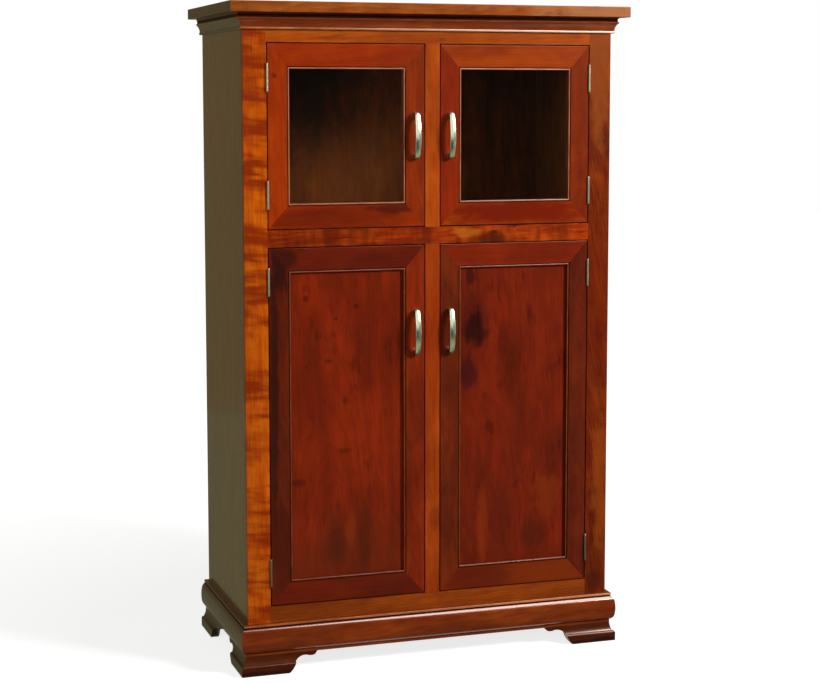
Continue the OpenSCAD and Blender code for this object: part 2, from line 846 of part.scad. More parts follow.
module lower_left_hinge_stile() { at_door(false) hinge_stile(false); }
module lower_left_pull_stile() { at_door(false) pull_stile(false); }
module lower_left_rails() { at_door(false) door_rails(false); }
module lower_left_panel() { at_door(false) door_panel(false); }
module lower_left_pull() { at_door(false) door_pull(false); }
module lower_left_hinge_leaves() { at_door(false) door_hinge_leaves(false); }
module lower_left_fixings() { at_door(false) door_fixings(false); }

module lower_right_hinge_stile() { handed(true) lower_left_hinge_stile(); }
module lower_right_pull_stile() { handed(true) lower_left_pull_stile(); }
module lower_right_rails() { handed(true) lower_left_rails(); }
module lower_right_panel() { handed(true) lower_left_panel(); }
module lower_right_pull() { handed(true) lower_left_pull(); }
module lower_right_hinge_leaves() { handed(true) lower_left_hinge_leaves(); }
module lower_right_fixings() { handed(true) lower_left_fixings(); }

top_slab();
crown_front();
crown_left();
crown_right();
side_left();
side_right();
sub_top();
middle_panel();
bottom_panel();
back_panel();
frame_stile_left();
frame_stile_right();
frame_rail_top();
frame_rail_middle();
frame_rail_bottom();
frame_mullion_upper();
frame_mullion_lower();
base_front();
base_left();
base_right();
foot_front_left();
foot_front_right();
foot_back_left();
foot_back_right();
shelf();
shelf_pins();
door_catches();
hinge_frame_leaves();
hinge_pins();
hinge_frame_screws();
upper_left_hinge_stile();
upper_left_pull_stile();
upper_left_rails();
upper_left_glass();
upper_left_glass_stops();
upper_left_pull();
upper_left_hinge_leaves();
upper_left_fixings();
upper_right_hinge_stile();
upper_right_pull_stile();
upper_right_rails();
upper_right_glass();
upper_right_glass_stops();
upper_right_pull();
upper_right_hinge_leaves();
upper_right_fixings();
lower_left_hinge_stile();
lower_left_pull_stile();
lower_left_rails();
lower_left_panel();
lower_left_pull();
lower_left_hinge_leaves();
lower_left_fixings();
lower_right_hinge_stile();
lower_right_pull_stile();
lower_right_rails();
lower_right_panel();
lower_right_pull();
lower_right_hinge_leaves();
lower_right_fixings();
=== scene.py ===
# %% [markdown]
# # A four-door hutch cabinet in stained cherry
#
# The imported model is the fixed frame: every board, door and hinge already has its place and its
# size. This script gives it its looks. Mouldings, door frames, feet and metalwork are modelled
# again with the softened edges that a maker leaves, each board gets its own figure and tone, and
# a plain studio with a camera shows the whole.

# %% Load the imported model
import json
import math

import bmesh
import bpy
from mathutils import Euler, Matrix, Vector


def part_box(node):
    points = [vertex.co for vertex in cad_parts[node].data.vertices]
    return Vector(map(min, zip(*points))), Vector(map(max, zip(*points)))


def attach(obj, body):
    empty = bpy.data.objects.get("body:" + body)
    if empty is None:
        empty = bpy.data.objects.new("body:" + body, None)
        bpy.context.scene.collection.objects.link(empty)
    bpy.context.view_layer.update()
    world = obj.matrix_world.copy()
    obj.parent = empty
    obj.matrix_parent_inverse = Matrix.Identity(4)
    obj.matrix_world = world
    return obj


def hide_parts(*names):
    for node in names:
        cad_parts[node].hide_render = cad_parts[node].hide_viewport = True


MM = 0.001

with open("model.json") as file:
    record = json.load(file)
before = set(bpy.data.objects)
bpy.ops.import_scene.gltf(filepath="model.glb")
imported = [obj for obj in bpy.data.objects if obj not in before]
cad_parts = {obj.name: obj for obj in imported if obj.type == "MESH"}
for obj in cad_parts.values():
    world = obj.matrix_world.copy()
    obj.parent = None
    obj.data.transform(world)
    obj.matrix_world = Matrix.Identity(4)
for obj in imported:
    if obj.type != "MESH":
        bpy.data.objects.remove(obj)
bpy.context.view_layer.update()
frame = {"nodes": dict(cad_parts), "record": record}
nodes = frame["nodes"]
body_of = {
    node: body
    for body, members in frame["record"]["behaviour"]["bodies"].items()
    for node in members
}

# %% [markdown]
# ## The camera
#
# The picture was taken with a long lens from the left, a little above the middle of the glass
# doors. The place and the angles below were solved from the edges of the cabinet. A small shift
# keeps the uprights nearly parallel, as a view camera's front does.

# %% Camera
CAMERA_PLACE = (-1.4165, -4.3163, 1.3484)
CAMERA_YAW = 18.596
CAMERA_PITCH = 6.101
CAMERA_LENS = 80.63
CAMERA_SHIFT = (-0.012, -0.0565)

lens = bpy.data.cameras.new("camera")
lens.sensor_width = 36
lens.lens = CAMERA_LENS
lens.shift_x, lens.shift_y = CAMERA_SHIFT
camera = bpy.data.objects.new("camera", lens)
camera.location = CAMERA_PLACE
camera.rotation_euler = (math.radians(90 - CAMERA_PITCH), 0, math.radians(-CAMERA_YAW))
bpy.context.scene.collection.objects.link(camera)
bpy.context.scene.camera = camera
bpy.context.scene.view_settings.view_transform = "Standard"
print("camera", [round(v, 3) for v in camera.location])

# %% [markdown]
# ## Two helpers for materials
#
# Materials are node trees, and writing them takes one helper: it adds a node, sets its own
# properties, and fills its inputs with a value or with a link from another node. Colours are
# written as hex values, as a colour card gives them, and one function turns them to the linear
# values that light needs.

# %% Helpers for node trees


def linear(hex_colour):
    """The linear colour of an sRGB hex value."""
    parts = [int(hex_colour[i:i + 2], 16) / 255 for i in (1, 3, 5)]
    return [p / 12.92 if p <= 0.04045 else ((p + 0.055) / 1.055) ** 2.4 for p in parts] + [1.0]


def add(tree, kind, inputs=None, **settings):
    """Adds one shader node: settings are its properties, and an input is a value, a socket, or a
    node whose first output is linked."""
    node = tree.nodes.new("ShaderNode" + kind)
    for key, value in settings.items():
        setattr(node, key, value)
    for key, value in (inputs or {}).items():
        if isinstance(value, bpy.types.Node):
            value = value.outputs[0]
        if isinstance(value, bpy.types.NodeSocket):
            tree.links.new(value, node.inputs[key])
        else:
            node.inputs[key].default_value = value
    return node


def blank(name):
    """An empty material and its node tree."""
    material = bpy.data.materials.new(name)
    material.use_nodes = True
    material.node_tree.nodes.clear()
    return material, material.node_tree


def surface(tree, inputs):
    """Closes a tree with the Principled shader and returns the shader."""
    shader = add(tree, "BsdfPrincipled", inputs)
    add(tree, "OutputMaterial", {"Surface": shader})
    return shader


print("middle grey #808080 in linear light:", round(linear("#808080")[0], 3))

# %% [markdown]
# ## The studio
#
# The background is pure white and the floor is pale. Only rays that look straight at the white see
# it so bright. Light that bounces about the room is a weak fill, or the inside of the cabinet would
# lose its depth.

# %% World and floor
FILL = 0.13
FLOOR_SIZE = 30
LYING_Z = 0.01     # a card that is lower than this, in metres, lies on the floor


def seen_directly(tree):
    """1 for camera, mirror and see-through rays, which meet the white background; 0 for light that
    was scattered first, so the glass doesn't turn the room's fill into full white inside."""
    path = add(tree, "LightPath").outputs
    ways = add(
        tree, "Math", {0: path["Is Camera Ray"], 1: path["Is Glossy Ray"]}, operation="MAXIMUM"
    )
    ways = add(tree, "Math", {0: ways, 1: path["Is Transmission Ray"]}, operation="MAXIMUM")
    fresh = add(tree, "Math", {0: path["Diffuse Depth"], 1: 0.5}, operation="LESS_THAN")
    return add(tree, "Math", {0: ways, 1: fresh}, operation="MULTIPLY")


world = bpy.data.worlds.new("studio")
world.use_nodes = True
room = world.node_tree
room.nodes.clear()
fill = add(room, "Background", {"Color": linear("#fbf8f2"), "Strength": FILL})
white = add(room, "Background", {"Color": (1, 1, 1, 1), "Strength": 1.0})
choice = add(room, "MixShader", {0: seen_directly(room), 1: fill, 2: white})
add(room, "OutputWorld", {"Surface": choice})
bpy.context.scene.world = world


def card(name, width, height, place, material):
    """A flat card that stands and faces the cabinet, or lies at floor level and faces up; the
    studio's own, not a part of the cabinet."""
    bm = bmesh.new()
    bmesh.ops.create_grid(bm, x_segments=1, y_segments=1, size=0.5)
    bmesh.ops.scale(bm, vec=(width, height, 1), verts=bm.verts)
    faces = Vector((0, -place[1], 0)) if place[2] > LYING_Z else Vector((0, 0, 1))
    turn = faces.to_track_quat("Z", "Y").to_matrix().to_4x4()
    turn.translation = place
    bmesh.ops.transform(bm, matrix=turn, verts=bm.verts)
    mesh = bpy.data.meshes.new(name)
    bm.to_mesh(mesh)
    bm.free()
    mesh.materials.append(material)
    obj = bpy.data.objects.new(name, mesh)
    bpy.context.scene.collection.objects.link(obj)
    return obj


# Pale floor: painted boards, matt, and seen as white where no shadow falls. The glow that lifts
# them to white grows from just outside the feet to 2.4 m.
floor_paint, tree = blank("floor_white")
far = add(tree, "VectorMath", {0: add(tree, "TexCoord").outputs["Object"]}, operation="LENGTH")
far = add(tree, "MapRange", {0: far.outputs["Value"], 1: 0.8, 2: 2.4, 3: 0.8, 4: 1.0})
paint = add(tree, "BsdfDiffuse", {"Color": linear("#b4b3b0")})
glow = add(tree, "Emission", {"Color": (1, 1, 1, 1), "Strength": far})
none = add(tree, "Emission", {"Color": (0, 0, 0, 1), "Strength": 0.0})
lift = add(tree, "MixShader", {0: seen_directly(tree), 1: none, 2: glow})
add(tree, "OutputMaterial", {"Surface": add(tree, "AddShader", {0: paint, 1: lift})})
card("floor", FLOOR_SIZE, FLOOR_SIZE, (0, 0, -0.0005), floor_paint)
print("floor", FLOOR_SIZE, "m wide, fill light", FILL)

# %% [markdown]
# ## Cards for the reflections
#
# Lacquer, glass and metal show what stands round them, so a photographer sets up cards and flags.
# These cards are met by reflections only. Dark cloth in front keeps the lacquer deep and the glass
# dark. A pale card in front on the left and two on the floor draw the highlights of the pulls, and
# they are all but hidden from the glass, which would show their edges. Grey-green cards behind the
# cabinet and on the floor beside it give the sides their dull sheen.

# %% Cards and flags
FRONT_CARD_Y = -3.9
BACK_CARD_Y = 3.4
# A honeycomb grid over a card: it starts to hide the card from rays 68 degrees off square and hides
# it from 73 degrees on. Both are written as 1 - cos, as the Facing output gives them.
GRID_STARTS = 0.62
GRID_SHUTS = 0.70


def reflected_card(name, hex_colour, strength, in_glass=None, gridded=False):
    """A card that only a ray turned by lacquer, glass or metal can meet. in_glass is its strength
    in a perfect mirror, the window glass, and behind the grid."""
    material, tree = blank(name)
    path = add(tree, "LightPath").outputs
    mirrored = add(tree, "Math", {0: path["Glossy Depth"], 1: 0.5}, operation="GREATER_THAN")
    if gridded:
        lowness = add(tree, "LayerWeight", {"Blend": 0.5}).outputs["Facing"]
        strength = add(
            tree, "MapRange", {0: lowness, 1: GRID_STARTS, 2: GRID_SHUTS, 3: strength, 4: in_glass}
        )
    if in_glass is not None:
        strength = add(tree, "MapRange", {0: path["Is Singular Ray"], 3: strength, 4: in_glass})
    tone = add(tree, "Emission", {"Color": linear(hex_colour), "Strength": strength})
    clear = add(tree, "BsdfTransparent")
    hung = add(tree, "MixShader", {0: mirrored, 1: clear, 2: tone})
    add(tree, "OutputMaterial", {"Surface": hung})
    return material


# Black cloth, matt: the lacquer and the glass mirror next to nothing of it.
flag_cloth = reflected_card("black_flag_cloth", "#9fb0a6", 0.05)
# Painted board, dull green: seen in low reflections as a soft, even tone without a highlight.
grey_card = reflected_card("grey_green_card", "#8b805b", 0.6)
side_floor_card = reflected_card("green_side_floor_card", "#8e8d68", 0.6)
floor_card = reflected_card("green_floor_card", "#a9b894", 0.20)
# Painted board, nearly white: it draws the bright lines on the pulls.
pale_card = reflected_card("pale_green_card", "#dadccb", 1.8, in_glass=0.03)
pale_floor_card = reflected_card(
    "pale_green_floor_card", "#c4cfb4", 0.9, in_glass=0.12, gridded=True
)
flags = [card(*row) for row in (
    ("flag_front", 4.9, 5.0, (2.55, FRONT_CARD_Y, 2.3), flag_cloth),
    ("flag_front_left", 2.3, 5.0, (-2.85, FRONT_CARD_Y, 2.3), flag_cloth),
    ("flag_front_low", 1.8, 1.1, (-0.8, FRONT_CARD_Y, 0.35), flag_cloth),
    ("card_front", 1.8, 3.9, (-0.8, FRONT_CARD_Y, 2.85), pale_card),
    ("flag_floor", 6.0, 3.7, (1.0, -2.075, 0.001), floor_card),
    ("card_floor_left", 0.75, 1.6, (-0.42, -1.5, 0.003), pale_floor_card),
    ("card_floor_right", 1.65, 1.6, (1.78, -1.5, 0.003), pale_floor_card),
    ("flag_side", 6.0, 4.6, (-2.0, BACK_CARD_Y, 2.2), grey_card),
    ("flag_side_right", 6.0, 4.6, (4.1, BACK_CARD_Y, 2.2), grey_card),
    ("flag_side_floor", 3.6, 7.0, (-2.26, 1.0, 0.002), side_floor_card),
    ("flag_side_floor_right", 3.6, 4.7, (2.26, 2.15, 0.002), side_floor_card),
)]
for flag in flags:
    flag.visible_camera = False
    flag.visible_diffuse = False
    flag.visible_shadow = False
print(len(flags), "cards round the cabinet")

# %% [markdown]
# ## The lights
#
# The shadows of the pulls fall to the left and a little down, so the main light is a softbox in
# front on the right, somewhat above the cabinet. A weaker one on the left opens the shadows. A
# strip overhead draws the white lines along the mouldings and is seen in reflections only.

# %% Lights
CABINET_MIDDLE = (0, 0, 0.9)


def softbox(name, size, place, aim, power):
    """A square or oblong soft light that looks at the aim; size in metres, power in watts."""
    light = bpy.data.lights.new(name, "AREA")
    light.shape = "RECTANGLE"
    light.size, light.size_y = size
    light.energy = power
    obj = bpy.data.objects.new(name, light)
    obj.location = place
    obj.rotation_euler = (Vector(aim) - Vector(place)).to_track_quat("-Z", "Y").to_euler()
    bpy.context.scene.collection.objects.link(obj)
    return obj


key = softbox("key", (0.9, 0.9), (2.7, -3.2, 2.75), CABINET_MIDDLE, 208)
softbox("fill_left", (2.0, 2.0), (-2.6, -3.2, 2.4), CABINET_MIDDLE, 38)
strip = softbox("overhead_strip", (2.4, 2.0), (1.7, -1.3, 2.9), (1.0, -0.5, 0), 200)
strip.visible_diffuse = False
print("key light", [round(v, 2) for v in key.location])

# %% [markdown]
# ## Stained cherry
#
# Cherry is a close-grained wood. Under a reddish-brown stain it shows soft growth rings, fine
# lengthwise fibre, cloudy patches where the stain went in deeper, short dark gum flecks, and in
# some boards a curl that bands the figure across the grain. A satin lacquer lies over it. The rings
# are real rings: distances from the tree's pith, which lies behind each board, so the figure runs
# through the wood and the ends show end grain. Each board has its own pith, tones and clouds.

# %% Cherry material
AXIS_ORDER = {"x": (1, 2, 0), "y": (2, 0, 1), "z": (0, 1, 2)}
WAVE_RINGS = math.tau / 20     # the wave texture's scale that makes rings one metre wide
WANDER_MM = 1000 / 9           # the trunk bends about once in 11 cm
# Each layer of the figure: how wide its blobs are in mm, how much finer detail they carry, and how
# many times longer than wide they are along the grain. Real fibres are finer than 0.1 mm. These are
# bundles of them, drawn as coarse as they need to be to show.
FIGURE = {
    "fibre": (2.6, 3, 26), "streak": (9, 2, 20), "cloud": (75, 3, 3.6), "mottle": (24, 4, 2.0),
    "patch": (36, 3, 5.5), "burl": (42, 5, 1.7), "gum": (5.5, 2, 7),
}
# Curl, in two sizes of wave: length along the grain and width across it in mm, and its share.
CURL_WAVES = ((46, 170, 0.62), (15, 80, 0.38))
# An old lacquer is amber, and so is the sheen of the stained wood just under it.
LACQUER_TINT = linear("#ffb07a")
SATIN = 0.12                   # the roughness that rubbing down leaves on the lacquer


def laid_along(tree, vector, along):
    """The vector with its axes changed round, so that z runs along the board."""
    parts = add(tree, "SeparateXYZ", {0: vector}).outputs
    return add(tree, "CombineXYZ", {i: parts[k] for i, k in enumerate(AXIS_ORDER[along])})


def wood(name, along, tones, seed, pith, ring=5.0, lean=1.6, slant=1.0, rings=0.3, clouds=0.5,
         curl=0.0, curl_lean=0.25, smudges=0.0, fine=0.35, flecks=0.3, marks=(), gloss=0.30,
         coat=0.3):
    """Lacquered wood. tones are the light, middle, dark and fleck colours; pith is the middle of
    the tree in mm; ring is a ring's width in mm; lean and slant tilt the tree against the board, in
    degrees, about its own two cross axes. rings, clouds, curl, smudges (burls and mineral stains),
    fine (fibre) and flecks say how strongly each shows. A mark is a single knot, stain or paler
    spot: its middle and half sizes in mm, its strength and its colour."""
    material, tree = blank(name)
    colour = linear(tones[0])

    def wipe(value, low, high, strength, tone):
        """Wipes a tone over the colour where the value goes from low to high."""
        nonlocal colour
        share = add(tree, "MapRange", {0: value, 1: low, 2: high}, interpolation_type="SMOOTHSTEP")
        share = add(tree, "Math", {0: share, 1: strength}, operation="MULTIPLY")
        colour = add(
            tree, "Mix", {0: share, 6: colour, 7: linear(tone)}, data_type="RGBA"
        ).outputs[2]

    # The tree's own space: z runs along the grain from the pith, and the seed moves the patterns.
    place = add(tree, "TexCoord").outputs["Object"]
    centred = add(tree, "VectorMath", {0: place, 1: [v * MM for v in pith]}, operation="SUBTRACT")
    tilt = (math.radians(lean), math.radians(slant), 0)
    grain = add(tree, "Mapping", {"Vector": laid_along(tree, centred, along), "Rotation": tilt})
    moved = (seed * 1.37, seed * 2.11, seed * 0.83)
    own = add(tree, "VectorMath", {0: grain, 1: moved}, operation="ADD")
    layer = {}
    for kind, (width, detail, stretch) in FIGURE.items():
        drawn = add(tree, "Mapping", {"Vector": own, "Scale": (1, 1, 1 / stretch)})
        layer[kind] = add(tree, "TexNoise", {
            "Vector": drawn, "Scale": 1 / (width * MM), "Detail": detail, "Roughness": 0.55,
        })

    # Fibre, streaks and patches between the light and the middle tone.
    body = -0.5 * fine
    for kind, weight in (("fibre", fine), ("streak", 0.5), ("mottle", 0.6), ("patch", 0.55)):
        body = add(tree, "Math", {0: layer[kind], 1: weight, 2: body}, operation="MULTIPLY_ADD")
    wipe(body, 0.60, 1.05, 1.0, tones[1])

    # Rings darken towards their late wood and start afresh. The trunk isn't straight: they wander
    # by some millimetres, slowly along the grain.
    wander = add(tree, "Mapping", {"Vector": own, "Scale": (1, 1, 0.3)})
    wander = add(tree, "TexNoise", {"Vector": wander, "Scale": 1 / (WANDER_MM * MM), "Detail": 3})
    wander = add(
        tree, "VectorMath", {0: wander.outputs[1], 1: (0.5, 0.5, 0.5)}, operation="SUBTRACT"
    )
    wander = add(tree, "VectorMath", {0: wander, "Scale": 45 * MM}, operation="SCALE")
    trunk = add(tree, "VectorMath", {0: grain, 1: wander}, operation="ADD")
    ring_wave = add(
        tree, "TexWave", {"Vector": trunk, "Scale": WAVE_RINGS / (ring * MM), "Distortion": 0.0},
        wave_type="RINGS", rings_direction="Z", wave_profile="SAW",
    ).outputs[1]
    late = add(tree, "Math", {0: ring_wave, 1: 2.2}, operation="POWER")
    late = add(tree, "Math", {0: late, 1: rings}, operation="MULTIPLY")
    wipe(ring_wave, 0.0, 0.12, late, tones[2])
    wipe(layer["cloud"], 0.35, 0.68, clouds, tones[2])

    if curl:
        # Curl: the fibres wave towards and away from the eye, so bright and dark bands lie across.
        seen = add(tree, "SeparateXYZ", {0: own}).outputs
        level = add(tree, "Math", {0: seen[0], 1: curl_lean, 2: seen[2]}, operation="MULTIPLY_ADD")
        leant = add(tree, "CombineXYZ", {0: seen[0], 1: seen[1], 2: level})
        bands = add(tree, "Math", {0: layer["fibre"], 1: 0.12, 2: -0.06}, operation="MULTIPLY_ADD")
        for along_mm, across_mm, part in CURL_WAVES:
            scale = (1 / (across_mm * MM), 1 / (across_mm * MM), 1 / (along_mm * MM))
            rolled = add(tree, "Mapping", {"Vector": leant, "Scale": scale})
            rolled = add(tree, "TexNoise", {"Vector": rolled, "Scale": 1, "Detail": 2})
            bands = add(tree, "Math", {0: rolled, 1: part, 2: bands}, operation="MULTIPLY_ADD")
        wipe(bands, 0.41, 0.62, curl, tones[2])
    if smudges:
        # Burls and mineral stains: dark, with ragged edges, in a field of paler streaks.
        stain = add(tree, "Math", {0: layer["streak"], 1: 0.2}, operation="MULTIPLY")
        stain = add(tree, "Math", {0: layer["burl"], 1: 0.8, 2: stain}, operation="MULTIPLY_ADD")
        wipe(stain, 0.40, 0.30, 0.45 * smudges, tones[0])
        wipe(stain, 0.56, 0.68, smudges, tones[3])
    wipe(layer["gum"], 0.64, 0.76, flecks, tones[3])
    ragged = add(tree, "Math", {0: layer["mottle"], 1: 1.6, 2: -0.8}, operation="MULTIPLY_ADD")
    for centre, size, strength, tint in marks:
        off = add(tree, "Mapping", {
            "Vector": place, "Location": [v * MM for v in centre], "Scale": [v * MM for v in size],
        }, vector_type="TEXTURE")
        reach = add(tree, "VectorMath", {0: off}, operation="LENGTH").outputs["Value"]
        reach = add(tree, "Math", {0: reach, 1: ragged}, operation="ADD")
        wipe(reach, 1.15, 0.45, strength, tint)

    relief = add(
        tree, "Bump", {"Height": layer["fibre"], "Strength": 0.12, "Distance": 0.25 * MM}
    )
    rough = add(
        tree, "MapRange", {0: layer["streak"], 1: 0.3, 2: 0.7, 3: gloss - 0.04, 4: gloss + 0.06}
    )
    surface(tree, {
        "Base Color": colour, "Roughness": rough, "Normal": relief,
        "Specular IOR Level": 0.15, "Specular Tint": LACQUER_TINT,
        "Coat Weight": coat, "Coat Roughness": SATIN, "Coat IOR": 1.5,
    })
    return material


print("layers of the figure:", ", ".join(FIGURE))

# %% [markdown]
# ## Glaze, metal, glass and the inside
#
# A dark glaze was wiped into the hollows of the mouldings before the lacquer went on, and the same
# dark material paints the shade in hollows and under edges. Paler beads are rubbed wood with a
# painted highlight. The metal is satin nickel, brushed along its length. The window glass is plain
# float glass. Inside, the wood has only a thin coat of the stain.

# %% Other materials


def mottled(tree, size, detail, first, second, low=0.0, high=1.0, vector=None):
    """Blobs of this size in mm between two hex colours; returns the pattern and the colour."""
    if vector is None:
        vector = add(tree, "TexCoord").outputs["Object"]
    blobs = add(tree, "TexNoise", {"Vector": vector, "Scale": 1 / (size * MM), "Detail": detail})
    pattern = add(tree, "MapRange", {0: blobs, 1: low, 2: high})
    colour = add(
        tree, "Mix", {0: pattern, 6: linear(first), 7: linear(second)}, data_type="RGBA"
    ).outputs[2]
    return pattern, colour


def glaze():
    """Dark brown glazing that settles in hollows, and painted shade in hollows and under edges;
    half matt, mottled by the rag that wiped it.
    """
    material, tree = blank("dark_glaze_and_painted_shade")
    _, colour = mottled(tree, 11.111, 3, "#1c0805", "#341009")
    surface(tree, {"Base Color": colour, "Roughness": 0.5, "Specular IOR Level": 0.12,
                   "Specular Tint": LACQUER_TINT})
    return material


def rubbed_and_highlit_bead(name, light, dark, coat=0.4, painted_highlight=None):
    """A bead whose crest is paler, partly from rubbing before the lacquer and partly by a painted
    highlight; uneven. painted_highlight is a paler colour painted in towards the right end of a
    long moulding, where the highlight grows."""
    material, tree = blank(name)
    _, colour = mottled(tree, 33.333, 3, light, dark, 0.35, 0.65)
    # Painted highlight: the bead grows paler towards the right end, where the light from the right
    # gleams on it.
    if painted_highlight:
        place = add(tree, "TexCoord").outputs["Object"]
        along = add(tree, "SeparateXYZ", {0: place})
        share = add(tree, "MapRange", {0: along, 1: -250 * MM, 2: 450 * MM})
        colour = add(
            tree, "Mix", {0: share, 6: colour, 7: linear(painted_highlight)}, data_type="RGBA"
        ).outputs[2]
    surface(tree, {
        "Base Color": colour, "Roughness": 0.3, "Specular IOR Level": 0.2, "Coat Weight": coat,
        "Coat Roughness": SATIN,
    })
    return material


def nickel(name, along, base="#b4bda4", lines_hex="#ced6bf", roughness=0.22):
    """Satin nickel plate: warm grey, with fine brush lines along the piece. Real lines are finer
    than 0.1 mm; these are drawn 0.4 mm apart, so that they show."""
    material, tree = blank(name)
    place = add(tree, "TexCoord").outputs["Object"]
    drawn = add(
        tree, "Mapping", {"Vector": laid_along(tree, place, along), "Scale": (1, 1, 0.04)}
    )
    lines, tone = mottled(tree, 0.38462, 2, base, lines_hex, vector=drawn)
    rough = add(tree, "MapRange", {0: lines, 3: roughness - 0.05, 4: roughness + 0.07})
    relief = add(tree, "Bump", {"Height": lines, "Strength": 0.05, "Distance": 0.05 * MM})
    surface(tree, {"Base Color": tone, "Metallic": 1.0, "Roughness": rough, "Normal": relief})
    return material


def float_glass():
    """Clear float glass, a touch green, with faint waves as long as a hand."""
    material, tree = blank("float_glass")
    wave, tint = mottled(tree, 200, 1, "#eef4f1", "#f4f8f6")
    relief = add(tree, "Bump", {"Height": wave, "Strength": 0.05, "Distance": 0.2 * MM})
    pane = surface(tree, {
        "Base Color": tint, "Roughness": 0.0, "IOR": 1.5, "Transmission Weight": 1.0,
        "Normal": relief,
    })
    # Light on its way to the shelves inside passes straight through, as it does through flat glass.
    passing = add(tree, "BsdfTransparent", {"Color": linear("#eaf2ee")})
    shade = add(tree, "LightPath").outputs["Is Shadow Ray"]
    both = add(tree, "MixShader", {0: shade, 1: pane, 2: passing})
    tree.links.new(both.outputs[0], tree.nodes["Material Output"].inputs["Surface"])
    return material


def moulded_plastic():
    """Brown ABS of the catches: moulded with a fine spark texture."""
    material, tree = blank("brown_abs")
    spark, colour = mottled(tree, 0.66667, 2, "#3a261b", "#4a3325")
    relief = add(tree, "Bump", {"Height": spark, "Strength": 0.3, "Distance": 0.05 * MM})
    surface(tree, {"Base Color": colour, "Roughness": 0.5, "Normal": relief})
    return material


GLAZE_AND_SHADE = glaze()
# Beads rubbed paler, with a painted highlight on their crests.
RUBBED_AND_HIGHLIT_PALE = rubbed_and_highlit_bead("rubbed_and_highlit_bead_pale", "#aa6c46", "#8e502a")
RUBBED_AND_HIGHLIT_BROWN = rubbed_and_highlit_bead("rubbed_and_highlit_bead_brown", "#844018", "#65280c")
NICKEL = nickel("satin_nickel", "z")
HINGE_NICKEL = nickel(
    "satin_nickel_hinges", "z", base="#8a8672", lines_hex="#a6a28c", roughness=0.34
)
GLASS = float_glass()
PLASTIC = moulded_plastic()
INSIDE = ("#6e3009", "#542208", "#391507", "#240e05")
inside_level = wood("inside_cherry_level", "x", INSIDE, 3, (0, 150, -60), gloss=0.42, coat=0.1)
inside_upright = wood(
    "inside_cherry_upright", "z", INSIDE, 5, (30, 330, 0), rings=0.35, gloss=0.42, coat=0.1
)
print("materials so far:", len(bpy.data.materials))

# %% [markdown]
# ## Turning a bmesh into a piece
#
# Every new piece goes through one helper. It shades the faces smooth except across real corners,
# weights the normals so that flat faces stay flat beside their rounded edges, gives the piece its
# materials, sets it on its CAD body and hides the CAD node it stands for.

# %% Piece helper
SHARP = math.radians(33)


def piece(name, bm, materials, slot, *stands_for, sharp=SHARP):
    """Finishes a bmesh as one object that rides with the CAD node it stands for."""
    for face in bm.faces:
        face.smooth = True
    for edge in bm.edges:
        edge.smooth = len(edge.link_faces) == 2 and edge.calc_face_angle(0) < sharp
    mesh = bpy.data.meshes.new(name)
    bm.to_mesh(mesh)
    bm.free()
    for material in materials:
        mesh.materials.append(material)
    obj = bpy.data.objects.new(name, mesh)
    bpy.context.scene.collection.objects.link(obj)
    even = obj.modifiers.new("even_normals", "WEIGHTED_NORMAL")
    even.keep_sharp = True
    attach(obj, body_of[stands_for[0]])
    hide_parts(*stands_for)
    return obj


def soften(bm, offset, segments=2, least=SHARP, chosen=lambda edge: True):
    """Rounds the real corners of a bmesh; offset in mm."""
    corners = [
        e for e in bm.edges if len(e.link_faces) == 2 and e.calc_face_angle(0) > least and chosen(e)
    ]
    bmesh.ops.bevel(
        bm, geom=corners, offset=offset * MM, offset_type="OFFSET", segments=segments, profile=0.5,
        affect="EDGES", clamp_overlap=True, material=-1,
    )


print("edges below", round(math.degrees(SHARP)), "degrees are shaded smooth")

# %% [markdown]
# ## Boards
#
# The top, the sides, the face frame and the inside boards are planed boards whose arrises were
# taken off with sandpaper. The CAD node holds the true shape with its dadoes, tenons and holes, but
# as loose triangles, so a copy is merged, its flat faces are made whole again, and its long edges
# are rounded. Short edges, such as the rims of the small holes, are left crisp.

# %% Boards
SHORTEST_EASED = 9


def eased(node, material, slot, ease, shortest=SHORTEST_EASED):
    """A softened copy of a CAD board, which it stands for."""
    bm = bmesh.new()
    bm.from_mesh(nodes[node].data)
    bmesh.ops.remove_doubles(bm, verts=bm.verts, dist=0.01 * MM)
    bmesh.ops.dissolve_limit(bm, angle_limit=math.radians(1), verts=bm.verts, edges=bm.edges)
    soften(bm, ease, chosen=lambda edge: edge.calc_length() > shortest * MM)
    return piece(node + "_board", bm, [material], slot, node)


print("edges shorter than", SHORTEST_EASED, "mm stay crisp")

# %% [markdown]
# ## Boards of the front
#
# Each board of the face frame was sawn from another plank, so it has its own figure, tone and
# blemishes. The tones come from looking at that board. A blemish that catches the eye is a mark: a
# soft-edged spot at its own place, because no noise would put it there. The pale mark at the right
# end of the top is no blemish but a painted reflection.

# %% Boards of the front
FRAME_Y = -201     # just before the face of the frame and of the doors, in mm
PANEL_Y = -190     # just before the face of the lower panels
MARK_DEPTH = 30    # half the depth of a mark, so that it reaches into the wood


def marks_at(y, *rows):
    """Marks on a board's face: x, z, half width and half height in mm, strength, colour."""
    return [((x, y, z), (w, MARK_DEPTH, h), *rest) for x, z, w, h, *rest in rows]


def own_wood(node, along, tones, seed, pith, **more):
    """The cherry of one board, named after it."""
    return wood("cherry_" + node, along, tones, seed, pith, **more)


